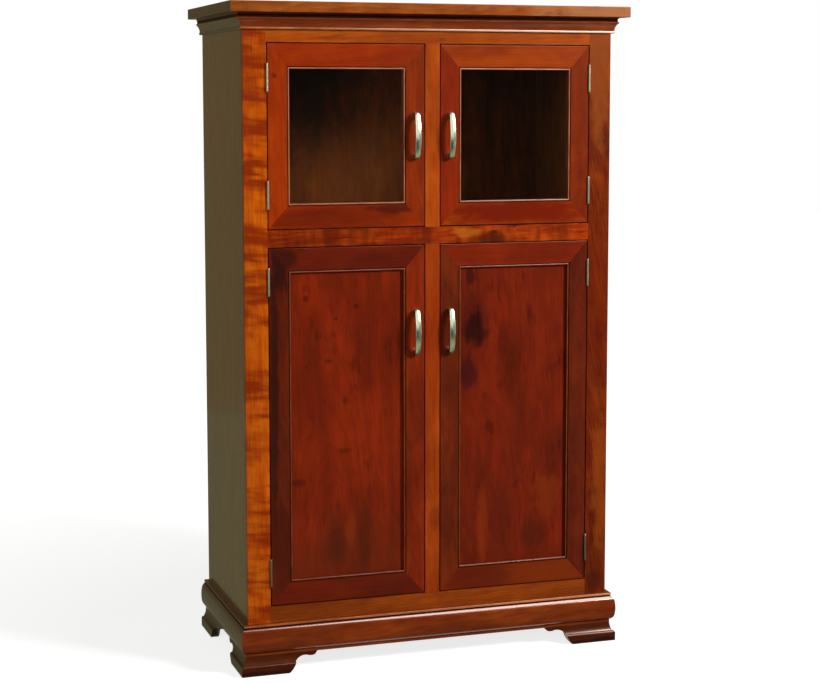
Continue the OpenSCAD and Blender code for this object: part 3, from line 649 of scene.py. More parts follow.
# The way of the grain, the tones, the seed, the pith and the easing of each board that shows.
cherry_boards = {
    "top_slab": (
        "x", ("#a85a20", "#8f4414", "#5c2409", "#3c1608"), 11, (0, -120, 1500), 1.6,
        # The pale mark at the right end of the top's front is a painted reflection of the light on
        # the right.
        dict(rings=0.35, curl=0.25, marks=[((470, -225, 1550), (260, 50, 60), 0.42, "#ac7a54")])),
    "frame_stile_left": (
        "z", ("#cb660a", "#b24204", "#802504", "#501608"), 12, (-430, -120, 0), 0.5,
        dict(curl=0.95, curl_lean=0.12, rings=0.15, clouds=0.15)),
    "frame_stile_right": (
        "z", ("#8c3608", "#641805", "#3e0f05", "#2a0c09"), 13, (420, -90, 0), 0.5,
        dict(slant=10, curl=0.2, rings=0.3, smudges=0.5, fine=0.7, marks=marks_at(
            FRAME_Y, (430, 1480, 45, 260, 0.5, "#984a18"), (430, 860, 40, 230, 0.5, "#5c1404"),
            (440, 400, 26, 190, 0.5, "#8e400c"), (425, 150, 24, 34, 0.6, "#3a120c")))),
    "frame_rail_top": (
        "x", ("#b5560e", "#9e400a", "#66200a", "#43150a"), 14, (0, -130, 1440), 0.5,
        dict(rings=0.25, smudges=0.35)),
    "frame_rail_middle": (
        "x", ("#b4460a", "#8c2405", "#4a0f06", "#2c0b08"), 15, (0, -150, 1000), 0.5,
        dict(rings=0.3, curl=0.6, curl_lean=0.9, smudges=0.95, flecks=0.6, marks=marks_at(
            FRAME_Y, (147, 1015, 46, 15, 0.72, "#2a0a06"), (86, 1030, 40, 15, 0.45, "#c26c18")))),
    "frame_rail_bottom": (
        "x", ("#9e480e", "#843609", "#561f08", "#38140a"), 16, (0, -120, 60), 0.5,
        dict(rings=0.4)),
    "frame_mullion_upper": (
        "z", ("#b45010", "#9c3c08", "#6e1f06", "#4a160a"), 17, (10, -110, 0), 0.5,
        dict(rings=0.2)),
    "frame_mullion_lower": (
        "z", ("#a8440c", "#923206", "#601b06", "#43130a"), 18, (-15, -120, 0), 0.5,
        dict(rings=0.2, marks=marks_at(
            FRAME_Y, (10, 338, 20, 34, 0.45, "#541a0a"), (0, 800, 40, 170, 0.45, "#8c2a06")))),
}
shaded = {}
for node, (along, tones, seed, pith, ease, more) in cherry_boards.items():
    shaded[node] = eased(node, own_wood(node, along, tones, seed, pith, **more), "cherry", ease)
print("boards of the front:", len(shaded))

# %% [markdown]
# ## Ends, sides and back
#
# One board can carry two finishes. End grain drinks more stain than the face beside it, and a back
# is stained inside only. The ends of the top are darker partly from that and partly by painted
# shade. The board stays one piece, and its faces get their material by the way that they look.

# %% Ends, sides and back


def refinish(board, material, chosen):
    """Gives a second material to the faces of a board whose normals are chosen."""
    board.data.materials.append(material)
    for face in board.data.polygons:
        if chosen(face.normal):
            face.material_index = 1


# The ends of the top: end grain, darker partly from more stain and partly by painted shade.
slab_ends = wood("cherry_top_slab_ends", "y", ("#472713", "#391d0d", "#281408", "#1c0d05"), 22,
                 (-600, 0, 1500), gloss=0.3, coat=0.7)
refinish(shaded["top_slab"], slab_ends, lambda normal: abs(normal.x) > 0.3)

# The sides are a duller and browner cherry than the front, and darker, partly by painted shade:
# the shade that the left side lies in.
SIDE = ("#7e4518", "#6a3613", "#4a250e", "#301608")
side_wood = wood("cherry_sides", "z", SIDE, 21, (-560, 60, 0), ring=6, rings=0.35, clouds=0.35,
                 flecks=0.15, coat=1.0)
for node in ("side_left", "side_right"):
    eased(node, side_wood, "cherry_sides", 0.5)
for node in ("sub_top", "middle_panel", "bottom_panel", "shelf"):
    eased(node, inside_level, "inside_wood", 0.6)

# Inside, a painted shadow darkens the upper left corner of the back. Its outer face was sealed but
# never stained.
inside_back_painted_shadow = wood("inside_cherry_back_painted_shadow", "z", INSIDE, 5, (30, 330, 0), rings=0.35, gloss=0.42,
                   coat=0.1, marks=[((-225, 225, 1410), (210, 60, 250), 0.75, "#120c09")])
back = eased("back_panel", inside_back_painted_shadow, "inside_wood", 0.4)
sealed_back = wood("sealed_cherry_back", "z", ("#92592e", "#7c4822", "#5e3518", "#402312"), 6,
                   (30, 330, 0), rings=0.4, gloss=0.42, coat=0.15)
refinish(back, sealed_back, lambda normal: normal.y > 0.9)

# %% [markdown]
# ## Drawing an outline and sweeping it
#
# A moulding has one outline all along. A small pen draws it: a pair moves the pen in a straight
# line, and four numbers swing the last point round a centre with the spin operator, as a compass
# would. The closed outline is filled, extruded once, and the points of its two ends are then slid
# to where the moulding starts and stops, which is also how each mitre is cut.

# %% Outline and sweep helpers


def outline(steps):
    """A flat face from pen steps: (x, y), or (centre x, centre y, degrees, segments)."""
    bm = bmesh.new()
    last = bm.verts.new((*steps[0], 0))
    for step in steps[1:]:
        if len(step) == 2:
            corner = bm.verts.new((*step, 0))
            bm.edges.new((last, corner))
            last = corner
            continue
        x, y, degrees, segments = step
        swung = bmesh.ops.spin(
            bm, geom=[last], cent=(x, y, 0), axis=(0, 0, 1), angle=math.radians(degrees),
            steps=segments, use_merge=False,
        )
        last = next(g for g in swung["geom_last"] if isinstance(g, bmesh.types.BMVert))
    bm.verts.ensure_lookup_table()
    if (last.co - bm.verts[0].co).length > 0.001:
        bm.edges.new((last, bm.verts[0]))
    bmesh.ops.remove_doubles(bm, verts=bm.verts, dist=0.001)
    bmesh.ops.contextual_create(bm, geom=bm.edges[:])
    return bm


def sweep(bm, start, end):
    """Extrudes the flat outline and puts its points where start and end say, in mm."""
    near = bm.verts[:]
    made = bmesh.ops.extrude_face_region(bm, geom=bm.faces[:], use_keep_orig=True)
    far = [g for g in made["geom"] if isinstance(g, bmesh.types.BMVert)]
    for vertex in far:
        vertex.co = Vector(end(vertex.co.x, vertex.co.y)) * MM
    for vertex in near:
        vertex.co = Vector(start(vertex.co.x, vertex.co.y)) * MM
    open_edges = [e for e in bm.edges if len(e.link_faces) == 1]
    if open_edges:
        bmesh.ops.holes_fill(bm, edges=open_edges, sides=0)
    bmesh.ops.recalc_face_normals(bm, faces=bm.faces)
    return bm


def in_mm(node):
    """Both corners of a CAD node's box, in millimetres."""
    return [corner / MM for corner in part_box(node)]


side_low, side_high = in_mm("side_left")
HALF_W = -side_low.x
BACK_Y = side_high.y
FACE_Y = in_mm("frame_stile_left")[0].y
print("half width", round(HALF_W, 1), "face", round(FACE_Y, 1), "back", round(BACK_Y, 1))

# %% [markdown]
# ## Crown and base
#
# The crown is a bead, a cove and a fillet under the top. The base is a toe, one broad round, a sunk
# line and a cap. Each has a front length and two side lengths, mitred at the front corners. Side
# lengths on the right are the left ones mirrored, by a minus sign on x.

# %% Outlines of the crown and the base
CROWN = {
    "bead_r": 3.4, "bead_out": 8.0, "bead_turn": 152, "tuck": 0.4, "cove_r": 23.0, "cove_x": 6.5,
    "fillet_z": 23.6, "fillet_h": 3.6, "out": 15.0, "nose": 1.0, "ease": 0.5, "neck": 12.6,
    "lip": 14.4, "lip_h": 3.4, "h": 38.0,
}
BASE = {
    "toe": 9.0, "toe_h": 7.5, "out": 20.6, "end": 10.2, "sunk": 9.6, "line_h": 2.0, "cap": 12.0,
    "cap_h": 5.5, "h": 75.0, "turn_r": 18.0, "turn": 60.0, "ease": 0.8,
}


def crown_outline():
    """From the case outwards and up: bead, cove, fillet with eased edges, neck and lip."""
    c = CROWN
    bead_x = c["bead_out"] - c["bead_r"]
    cove_z = 2 * c["bead_r"] - c["tuck"]
    cove_x = c["cove_x"] + c["cove_r"]
    nose_x = c["out"] - c["nose"]
    ease_x = c["out"] - c["ease"]
    fillet_top = c["fillet_z"] + c["fillet_h"]
    cove_turn = math.degrees(math.acos((cove_x - nose_x) / c["cove_r"]))
    return outline([
        (0, 0), (bead_x, 0), (bead_x, c["bead_r"], c["bead_turn"], 12), (c["cove_x"], cove_z),
        (cove_x, cove_z, -cove_turn, 12), (nose_x, c["fillet_z"]), (ease_x, c["fillet_z"]),
        (ease_x, c["fillet_z"] + c["ease"], 90, 3), (c["out"], fillet_top - c["ease"]),
        (ease_x, fillet_top - c["ease"], 90, 3), (c["neck"], fillet_top),
        (c["neck"], c["h"] - c["lip_h"]), (c["lip"], c["h"] - c["lip_h"]), (c["lip"], c["h"]),
        (0, c["h"]),
    ])


def base_outline():
    """The round is three arcs: a wide one in the middle and a tighter one at each end."""
    b = BASE
    low = b["toe_h"]
    cap_z = b["h"] - b["cap_h"]
    high = cap_z - b["line_h"]
    middle = (low + high) / 2
    turn = math.radians(b["turn"])
    turn_x = b["end"] - b["turn_r"] * math.cos(turn)
    rise = high - b["turn_r"] * math.sin(turn) - middle
    bulge = b["out"] - turn_x
    wide_r = (bulge ** 2 + rise ** 2 - b["turn_r"] ** 2) / (2 * (bulge - b["turn_r"]))
    meet = math.degrees(math.asin(rise / (wide_r - b["turn_r"])))
    ease = b["ease"]
    toe_x, cap_x = b["toe"] - ease, b["cap"] - ease
    return outline([
        (0, 0), (toe_x, 0), (toe_x, ease, 90, 3), (b["toe"], low), (b["end"], low),
        (turn_x, middle - rise, b["turn"] - meet, 10), (b["out"] - wide_r, middle, 2 * meet, 10),
        (turn_x, middle + rise, b["turn"] - meet, 10), (b["sunk"], high), (b["sunk"], cap_z),
        (cap_x, cap_z), (cap_x, cap_z + ease, 90, 3), (b["cap"], b["h"] - ease),
        (cap_x, b["h"] - ease, 90, 3), (0, b["h"]),
    ])


print("crown", CROWN["h"], "mm high, base", BASE["h"], "mm high")

# %% [markdown]
# ## Laying the mouldings
#
# On the real cabinet the glaze was wiped on and off again, so it stays in the sunk lines, and the
# proud edges were rubbed through to paler wood. The dark material also paints the shadow in the
# crown's neck under the top and the shade under the base's round, and the pale edges carry a
# painted highlight. Which band a face belongs to follows from its height on the moulding, so each
# face gets its material by that.

# %% Crown and base mouldings
FLUSH = 1      # a face that stands out less than this, in mm, lies against the case
# hollows and crests are the dark and the pale bands, in mm above the moulding's lower edge: glaze
# in the base's sunk line, painted shadow in the crown's neck and painted shade under the base's
# round; rubbed wood with a painted highlight on the crests.
MOULDINGS = {
    "crown": dict(
        draw=crown_outline, seed=31, pith=(0, -130, 1540),
        front=("#8c3f18", "#742c0c", "#481506", "#330e08"), rubbed_and_highlit=("#b06c44", "#8e4c28"),
        # The sides' tones are darker and duller than the front's: partly their own tone, partly
        # painted shade, with a painted grey-green reflection on the crown's sides and their lip.
        sides=("#6c5638", "#5d482c", "#45351f", "#302414"), rubbed_and_highlit_sides=("#6e5c40", "#564830"),
        painted_highlight="#e6bfa4", hollows=((27.4, 34.4),), crests=((0.8, 5.6),),
    ),
    "base": dict(
        draw=base_outline, seed=41, pith=(0, -90, 40),
        front=("#93400f", "#7c2a08", "#4b1506", "#310d08"), rubbed_and_highlit=("#b4622c", "#8e4216"),
        # Darker sides: partly their own tone, partly painted shade.
        sides=("#5a3216", "#4a270f", "#341a0a", "#231006"), rubbed_and_highlit_sides=("#4a2810", "#381c0a"),
        painted_highlight="#c87c48", hollows=((66.2, 69.3), (6.6, 9.6)), crests=((70.2, 74.6),),
    ),
}


def lay_front(bm, z0):
    """Along the front, mitred at both ends."""
    def end(side):
        return lambda out, up: (side * (HALF_W + out), FACE_Y - out, z0 + up)
    return sweep(bm, end(-1), end(1))


def lay_side(bm, z0, side):
    """Along one side, from the mitre to the back; side is -1 on the left."""
    return sweep(
        bm, lambda out, up: (side * (HALF_W + out), FACE_Y - out, z0 + up),
        lambda out, up: (side * (HALF_W + out), BACK_Y, z0 + up),
    )


def finish_bands(bm, made, z0, stand_out):
    """Glazing and painted shade in the dark bands, and paler wood from rubbing with a painted
    highlight on the proud edges; by height in mm.
    """
    for face in bm.faces:
        middle = face.calc_center_median() / MM
        height = middle.z - z0
        if stand_out(middle) < FLUSH:
            continue
        if any(low < height < high for low, high in made["hollows"]):
            face.material_index = 1
        elif any(low < height < high for low, high in made["crests"]):
            face.material_index = 2


for family, made in MOULDINGS.items():
    z0 = in_mm(family + "_front")[0].z
    name = f"cherry_{family}_"
    front_wood = wood(name + "front", "x", made["front"], made["seed"], made["pith"], gloss=0.24,
                      coat=0.9)
    front_edge = rubbed_and_highlit_bead("rubbed_and_highlit_" + family, *made["rubbed_and_highlit"], coat=0.9, painted_highlight=made["painted_highlight"])
    side_wood = wood(name + "sides", "y", made["sides"], made["seed"] + 1,
                     (-400, 0, made["pith"][2]), rings=0.15, clouds=0.25, flecks=0.1, gloss=0.3,
                     coat=0.85)
    side_edge = rubbed_and_highlit_bead(f"rubbed_and_highlit_{family}_sides", *made["rubbed_and_highlit_sides"], coat=0.3)
    bm = lay_front(made["draw"](), z0)
    finish_bands(bm, made, z0, lambda p: FACE_Y - p.y)
    piece(family + "_front_moulding", bm, [front_wood, GLAZE_AND_SHADE, front_edge], "cherry",
          family + "_front")
    for side, hand in ((-1, "left"), (1, "right")):
        bm = lay_side(made["draw"](), z0, side)
        finish_bands(bm, made, z0, lambda p: abs(p.x) - HALF_W)
        piece(f"{family}_{hand}_moulding", bm, [side_wood, GLAZE_AND_SHADE, side_edge], "cherry_sides",
              f"{family}_{hand}")
print("mouldings laid round", round(2 * HALF_W), "mm")

# %% [markdown]
# ## Doors
#
# A door's four members carry the same edge: a hollow line, the quirk, and beside it a small bead.
# They meet at the corners in mitres. Each member's outline is drawn from its outer edge inwards,
# and its ends are slid onto the mitre. The faces of the quirk get the dark glaze, which also paints
# the shade in the quirk.

# %% Outline of the door members
DOOR_T = 19.0
EDGE_R = 1.2
QUIRK_R = 0.9
QUIRK_D = 1.7
BEAD_R = 2.0
BEAD_SET = 0.6
MOULD_W = 9.0
EDGE_W = 2 * (QUIRK_R + BEAD_R)
PANEL_FACE = 9.0
PANEL_BITE = 8.0
GROOVE_ROOM = 1.0


def member_outline(width, sheet_t):
    """x from the member's outer edge inwards, y from the door's face back. A thin sheet lies in a
    groove; a thick one, the glass with its stops, in an open rabbet."""
    quirk_x = width - EDGE_W + QUIRK_R
    bead_x = width - BEAD_R
    bead_y = BEAD_SET + BEAD_R
    bead_start = math.degrees(math.asin((bead_y - QUIRK_D) / BEAD_R))
    grooved = [(width, PANEL_FACE + sheet_t), (width, DOOR_T)]
    return outline([
        (0, DOOR_T), (0, EDGE_R), (EDGE_R, EDGE_R, 90, 4), (quirk_x - QUIRK_R, 0),
        (quirk_x - QUIRK_R, QUIRK_D), (quirk_x, QUIRK_D, -180, 8),
        (bead_x - BEAD_R * math.cos(math.radians(bead_start)), QUIRK_D),
        (bead_x, bead_y, 180 - bead_start, 12), (width, PANEL_FACE),
        (width - PANEL_BITE, PANEL_FACE), (width - PANEL_BITE, PANEL_FACE + sheet_t),
        *(grooved if PANEL_FACE + sheet_t < DOOR_T else [(width - PANEL_BITE, DOOR_T)]),
        (width - MOULD_W, DOOR_T),
    ])


def cut_mitre(from_edge, own_w, other_w):
    """How far along a member its mitre lies, at a distance from its outer edge."""
    flat = own_w - MOULD_W
    if from_edge <= flat:
        return from_edge * (other_w - MOULD_W) / flat
    return other_w - own_w + from_edge


print("moulded edge", EDGE_W, "mm wide")

# %% [markdown]
# ## Each door's own wood
#
# No two boards of the real doors match: the lower doors took more stain, and single boards show
# knots, burls and darker or paler clouds. So each member has its own four tones, and each spot that
# catches the eye is a mark, set where it sits on the board.

# %% Tones and marks of the doors
door_tones = {
    "upper_left": dict(
        hinge_stile=("#a63a05", "#962c04", "#6c1c05", "#48120a"),
        pull_stile=("#8f320a", "#7c2407", "#561706", "#3c0f09"),
        rails=("#a23506", "#8c2505", "#5c1806", "#3f100a"),
    ),
    "upper_right": dict(
        hinge_stile=("#842c0a", "#722008", "#4c1407", "#350d09"),
        pull_stile=("#942a08", "#7f2006", "#581406", "#3d0d08"),
        rails=("#9a3c0a", "#862a06", "#5a1b07", "#40110a"),
    ),
    "lower_left": dict(
        hinge_stile=("#6a220c", "#561909", "#36100b", "#240a09"),
        pull_stile=("#8a2a09", "#752008", "#481208", "#300d0a"),
        rails=("#74200a", "#611a09", "#3f1009", "#2b0a09"),
        panel=("#8c260a", "#742007", "#4a1307", "#300b08"),
    ),
    "lower_right": dict(
        hinge_stile=("#6a220c", "#571909", "#38100a", "#260a09"),
        pull_stile=("#7c2c0c", "#66200a", "#3f120a", "#290b0a"),
        rails=("#942a08", "#7a1e06", "#49130a", "#300c09"),
        panel=("#7e220a", "#691b08", "#421108", "#2a0a08"),
    ),
}
# Single knots, burls and stains of the doors.
MARKS = {
    "upper_left_hinge_stile": marks_at(FRAME_Y, (-384, 1402, 7, 8, 0.6, "#4a1608")),
    "upper_left_rails": marks_at(
        FRAME_Y, (-95, 1092, 70, 13, 0.75, "#3a0f0a"), (-230, 1070, 200, 40, 0.5, "#4a1006"),
    ),
    "lower_left_hinge_stile": marks_at(
        FRAME_Y, (-389, 700, 12, 330, 0.8, "#2c0f0c"), (-372, 960, 26, 70, 0.85, "#2a0e0c"),
    ),
    "lower_left_rails": marks_at(FRAME_Y, (-372, 976, 52, 44, 0.75, "#2c0e0a")),
    "lower_right_panel": marks_at(
        PANEL_Y, (112, 815, 44, 84, 0.5, "#42100a"), (112, 802, 29, 56, 0.85, "#1e0808"),
        (98, 692, 30, 46, 0.7, "#2e0a10"), (98, 925, 12, 26, 0.7, "#260a08"),
        (182, 760, 16, 60, 0.45, "#3a0e08"), (174, 330, 36, 115, 0.5, "#3e120c"),
        (263, 284, 42, 40, 0.5, "#3e140c"), (131, 320, 16, 110, 0.3, "#8a3208"),
        (300, 380, 44, 60, 0.5, "#7c2e08"),
    ),
    "lower_right_rails": marks_at(
        FRAME_Y, (290, 190, 150, 60, 0.7, "#702b08"), (110, 190, 110, 60, 0.65, "#54190a"),
    ),
    "upper_right_rails": marks_at(FRAME_Y, (225, 1078, 240, 34, 0.95, "#6c1504")),
    "lower_left_panel": marks_at(
        PANEL_Y, (-188, 862, 11, 8, 0.6, "#300e08"), (-238, 835, 7, 5, 0.5, "#300e08"),
        (-310, 884, 8, 9, 0.55, "#300e08"), (-255, 735, 12, 7, 0.5, "#35140a"),
        (-215, 640, 9, 14, 0.5, "#35100a"), (-215, 225, 190, 150, 0.5, "#5a220e"),
        (-166, 315, 18, 95, 0.5, "#40160e"), (-240, 290, 30, 62, 0.45, "#40180f"),
        (-335, 449, 26, 11, 0.55, "#34100c"), (-217, 519, 20, 10, 0.5, "#3c1408"),
        (-203, 330, 16, 50, 0.35, "#8c3608"),
    ),
}
print(sum(len(marks) for marks in MARKS.values()), "marks on the doors")

# %% [markdown]
# ## Glaze and rub on the doors
#
# As on the mouldings, the glaze stays in the quirk, deepened by painted shade, and the bead is
# rubbed paler and carries a painted highlight. A face belongs to either by its distance from the
# member's inner edge and its depth, so two spans say which it is.

# %% Helpers for the doors
# Which faces are glazed, with painted shade, and which are rubbed, with a painted highlight: how
# far they lie from the member's inner edge, and how deep under its face, in mm.
GLAZED_AND_SHADED_AT = (2 * BEAD_R - 0.3, EDGE_W + 0.05, 0.1, QUIRK_D + QUIRK_R + 0.1)
RUBBED_AND_HIGHLIT_AT = (0.7, 3.3, BEAD_SET - 0.1, BEAD_SET + BEAD_R)
FIRST_DOOR = 5     # the doors' seeds follow those of the frame


def join(bm, other, index=None):
    """Adds the other bmesh to the first and lets go of it; index is its material."""
    if index is not None:
        for face in other.faces:
            face.material_index = index
    held = bpy.data.meshes.new("held")
    other.to_mesh(held)
    other.free()
    bm.from_mesh(held)
    bpy.data.meshes.remove(held)


def dress(node, material):
    """Keeps a CAD node whose shape is right and gives it its finish."""
    nodes[node].data.materials.clear()
    nodes[node].data.materials.append(material)


def door_wood(door, part, along, seed, pith, **more):
    """The cherry of one part of a door, with its own tones and marks."""
    node = f"{door}_{part}"
    tones, marks = door_tones[door][part], MARKS.get(node, ())
    return own_wood(node, along, tones, seed, pith, marks=marks, **more)


def lies_in(span, inward, sunk):
    """Whether a face at this distance and depth lies within the span."""
    near, far, high, deep = span
    return near < inward < far and high < sunk < deep


print("glaze", [round(v, 2) for v in GLAZED_AND_SHADED_AT[:2]], "mm from a member's inner edge")

# %% [markdown]
# ## Building the doors
#
# Stiles and rails are swept along the same outline and cut to the same mitre, so a door is four
# sweeps. A stile's ends follow the rail's width and a rail's ends the stile's, which is why each
# end is a function of the distance from the outer edge. The lower doors hold a flat panel, which
# keeps its CAD shape, and the upper ones a pane with wooden stops behind it.

# %% Doors


def build_door(door, number):
    """Frame and sheet of one door; side is -1 for the doors on the left."""
    side = -1 if "left" in door else 1
    glazed = door.startswith("upper")
    rubbed_and_highlit = RUBBED_AND_HIGHLIT_PALE if glazed else RUBBED_AND_HIGHLIT_BROWN
    stile_low, stile_high = in_mm(door + "_hinge_stile")
    rails_low, rails_high = in_mm(door + "_rails")
    sheet_low, sheet_high = in_mm(door + ("_glass" if glazed else "_panel"))
    z0, height = stile_low.z, stile_high.z - stile_low.z
    outer_x = max(abs(stile_low.x), abs(stile_high.x))
    door_w = outer_x - min(abs(rails_low.x), abs(rails_high.x))
    stile_w = stile_high.x - stile_low.x
    rail_w = sheet_low.z - z0 + PANEL_BITE - GROOVE_ROOM
    sheet_t = DOOR_T - PANEL_FACE if glazed else sheet_high.y - sheet_low.y

    def stile_at(from_hinge):
        """Sweeps a stile upwards; from_hinge turns a distance into the door's width."""
        def end(top):
            def put(s, d):
                up = cut_mitre(s, stile_w, rail_w)
                x = side * (outer_x - from_hinge(s))
                return (x, FACE_Y + d, z0 + (height - up if top else up))
            return put
        return sweep(member_outline(stile_w, sheet_t), end(False), end(True))

    def rail_at(top):
        """Sweeps a rail from the hinge side to the pull side."""
        def end(far):
            def put(r, d):
                along = cut_mitre(r, rail_w, stile_w)
                x = side * (outer_x - (door_w - along if far else along))
                return (x, FACE_Y + d, z0 + (height - r if top else r))
            return put
        return sweep(member_outline(rail_w, sheet_t), end(False), end(True))

    rails = rail_at(False)
    join(rails, rail_at(True))
    middle_x = side * outer_x * 0.5
    for part, bm, along, pith in (
        ("hinge_stile", stile_at(lambda s: s), "z", (side * 380, -120, 0)),
        ("pull_stile", stile_at(lambda s: door_w - s), "z", (side * 50, -100, 0)),
        ("rails", rails, "x", (middle_x, -110, z0 - 50)),
    ):
        for face in bm.faces:
            middle = face.calc_center_median() / MM
            if part == "rails":
                inward = rail_w - min(middle.z - z0, z0 + height - middle.z)
            elif part == "hinge_stile":
                inward = stile_w - (outer_x - abs(middle.x))
            else:
                inward = stile_w - (abs(middle.x) - (outer_x - door_w))
            sunk = middle.y - FACE_Y
            if lies_in(GLAZED_AND_SHADED_AT, inward, sunk):
                face.material_index = 1
            elif lies_in(RUBBED_AND_HIGHLIT_AT, inward, sunk):
                face.material_index = 2
        material = door_wood(door, part, along, number * 10 + len(part), pith)
        piece(f"{door}_{part}_member", bm, [material, GLAZE_AND_SHADE, rubbed_and_highlit], "cherry", f"{door}_{part}")
    if glazed:
        dress(door + "_glass", GLASS)
        eased(door + "_glass_stops", inside_upright, "inside_wood", 0.5)
    else:
        panel_wood = door_wood(
            door, "panel", "z", number * 10 + 3, (middle_x - 40, -60, 0), ring=6, rings=0.25,
            clouds=0.55, smudges=0.45, lean=2.4, slant=2.5,
        )
        dress(door + "_panel", panel_wood)


for number, door in enumerate(door_tones, start=FIRST_DOOR):
    build_door(door, number)
print("doors:", ", ".join(door_tones))

# %% [markdown]
# ## Feet
#
# A front foot is two boards mitred at the corner. Each board is sawn to one outline, with a round
# toe, an arch and a nose, and its face is moulded with a shoulder and a cove. The outline is drawn
# flat, sliced level by level, and each level is pushed out as far as the moulding stands there.

# %% A foot board
FOOT_H = 45.0
FOOT_T = 20.5
SHOULDER_R = 5.0
SHOULDER_Z = 19.5
COVE_R = 36.7
COVE_X = 45.7
# Where the face is sliced: closest round the shoulder, where it bends most.
FOOT_LEVELS = (
    19.5, 20.6, 21.6, 22.5, 23.2, 23.8, 24.2, 24.5, 25.4, 26.8, 28.6, 30.6, 33, 36, 39.5,
)
# The sawn end as pen steps beyond the reach: the round toe, the arch, a step and the nose.
SAWN_END = (
    (0, 0), (-35.52, 41.2, 33.9, 10), (16.96, 26.86), (39.8, 7.9, -72.0, 14), (50.77, 35.5),
    (57.5, 35.5), (57.5, 48, 76.1, 8), (69.63, FOOT_H),
)
SAWN_EASE = 0.9
MERGED = 0.2       # an arc ends this near, in mm, to where the next line begins
EPS = 1e-5         # in metres, so that edges at the very top aren't counted as sawn


def slice_at(bm, levels, axis):
    """Cuts edges into a bmesh at each level of an axis, given as a unit vector."""
    for level in levels:
        bmesh.ops.bisect_plane(
            bm, geom=bm.verts[:] + bm.edges[:] + bm.faces[:],
            plane_co=[level * v for v in axis], plane_no=axis,
        )


def foot_depth(z):
    """How far the foot's face stands out at a height."""
    if z <= SHOULDER_Z:
        return FOOT_T
    shoulder = FOOT_T - SHOULDER_R + math.sqrt(max(0, SHOULDER_R ** 2 - (z - SHOULDER_Z) ** 2))
    cove = COVE_X - math.sqrt(COVE_R ** 2 - (FOOT_H - z) ** 2)
    return max(cove, shoulder if z < SHOULDER_Z + SHOULDER_R else 0)


def foot_board(reach, place, mitred):
    """place turns (distance from the corner, depth, height) into a point in mm."""
    bm = outline([(0, 0)] + [(reach + x, *rest) for x, *rest in SAWN_END] + [(0, FOOT_H)])
    bmesh.ops.remove_doubles(bm, verts=bm.verts, dist=MERGED)
    slice_at(bm, FOOT_LEVELS, (0, 1, 0))
    near = bm.verts[:]
    made = bmesh.ops.extrude_face_region(bm, geom=bm.faces[:], use_keep_orig=True)
    far = {g for g in made["geom"] if isinstance(g, bmesh.types.BMVert)}
    on_curve = {vertex for vertex in far if vertex.co.x > reach - 1}
    for vertex in far:
        s, z, depth = vertex.co.x, vertex.co.y, foot_depth(vertex.co.y)
        vertex.co = Vector(place(-depth if mitred and s < 0.01 else s, depth, z)) * MM
    top = FOOT_H * MM - EPS
    sawn = {e for e in bm.edges if all(v in on_curve and v.co.z < top for v in e.verts)}
    for vertex in near:
        vertex.co = Vector(place(vertex.co.x, 0, vertex.co.y)) * MM
    bmesh.ops.recalc_face_normals(bm, faces=bm.faces)
    soften(bm, SAWN_EASE, least=math.radians(60), chosen=lambda edge: edge in sawn)
    return bm


print("a foot board is sliced at", len(FOOT_LEVELS), "levels")

# %% [markdown]
# ## Standing the feet
#
# A back foot has one moulded board, along the side, and a plain one across the back. A block is
# glued into the corner of every foot and carries the load. The front boards of the feet darken
# towards the floor by painted shade: their wood has one wide dark mark at floor level.

# %% Four feet
FOOT_REACH = {"front": 95, "back": 112}
BLOCK_W = 40
BLOCK_Z = 3
BACK_BOARD_T = 19
BACK_BOARD_W = 90


def block(low, high, ease=0.5):
    """A board between two corners in mm, with rounded arrises."""
    bm = bmesh.new()
    bmesh.ops.create_cube(bm, size=1)
    low, high = Vector(low) * MM, Vector(high) * MM
    bmesh.ops.scale(bm, vec=[abs(v) for v in high - low], verts=bm.verts)
    bmesh.ops.translate(bm, vec=(low + high) / 2, verts=bm.verts)
    soften(bm, ease)
    return bm


# Painted shade: the front wood of the feet darkens towards the floor by one wide dark mark.
foot_front_wood = wood("cherry_feet_front", "x", ("#5c240c", "#48190a", "#2e1009", "#200a08"), 61,
                       (0, -90, -60), gloss=0.34, coat=0.35,
                       marks=[((0, -200, 0), (2000, 2000, 15), 0.8, "#1e0b08")])
foot_side_wood = wood("cherry_feet_sides", "y", ("#4c2810", "#3c1e0b", "#281407", "#1b0c05"), 62,
                      (-400, 0, -60), gloss=0.26, coat=0.45)
foot_woods = [foot_front_wood, foot_side_wood, inside_upright]
inner_x = HALF_W - BLOCK_W
board_y = BACK_Y - BACK_BOARD_T
for hand, side in (("left", -1), ("right", 1)):
    front = foot_board(
        FOOT_REACH["front"], lambda s, d, z: (side * (HALF_W - s), FACE_Y - d, z), True
    )
    join(front, foot_board(
        FOOT_REACH["front"], lambda s, d, z: (side * (HALF_W + d), FACE_Y + s, z), True), 1)
    join(front, block((side * HALF_W, FACE_Y, BLOCK_Z),
                      (side * inner_x, FACE_Y + BLOCK_W, FOOT_H)), 2)
    piece(f"foot_front_{hand}_boards", front, foot_woods, "cherry", f"foot_front_{hand}")
    back = foot_board(
        FOOT_REACH["back"], lambda s, d, z: (side * (HALF_W + d), BACK_Y - s, z), False
    )
    for face in back.faces:
        face.material_index = 1
    join(back, block((side * HALF_W, board_y, 0),
                     (side * (HALF_W - BACK_BOARD_W), BACK_Y, FOOT_H)), 2)
    join(back, block((side * HALF_W, board_y - BLOCK_W, BLOCK_Z),
                     (side * inner_x, board_y, FOOT_H)), 2)
    piece(f"foot_back_{hand}_boards", back, foot_woods, "cherry", f"foot_back_{hand}")
print("feet stand", FOOT_H, "mm high")

# %% [markdown]
# ## Pulls
#
# A pull is cast: a bowed strap with a soft ridge along its middle, turned down at both ends onto
# two feet. Its side view is drawn with the pen and extruded across, then sliced lengthwise, so
# that the strap can be made widest in the middle, round at its ends and crowned at the ridge.

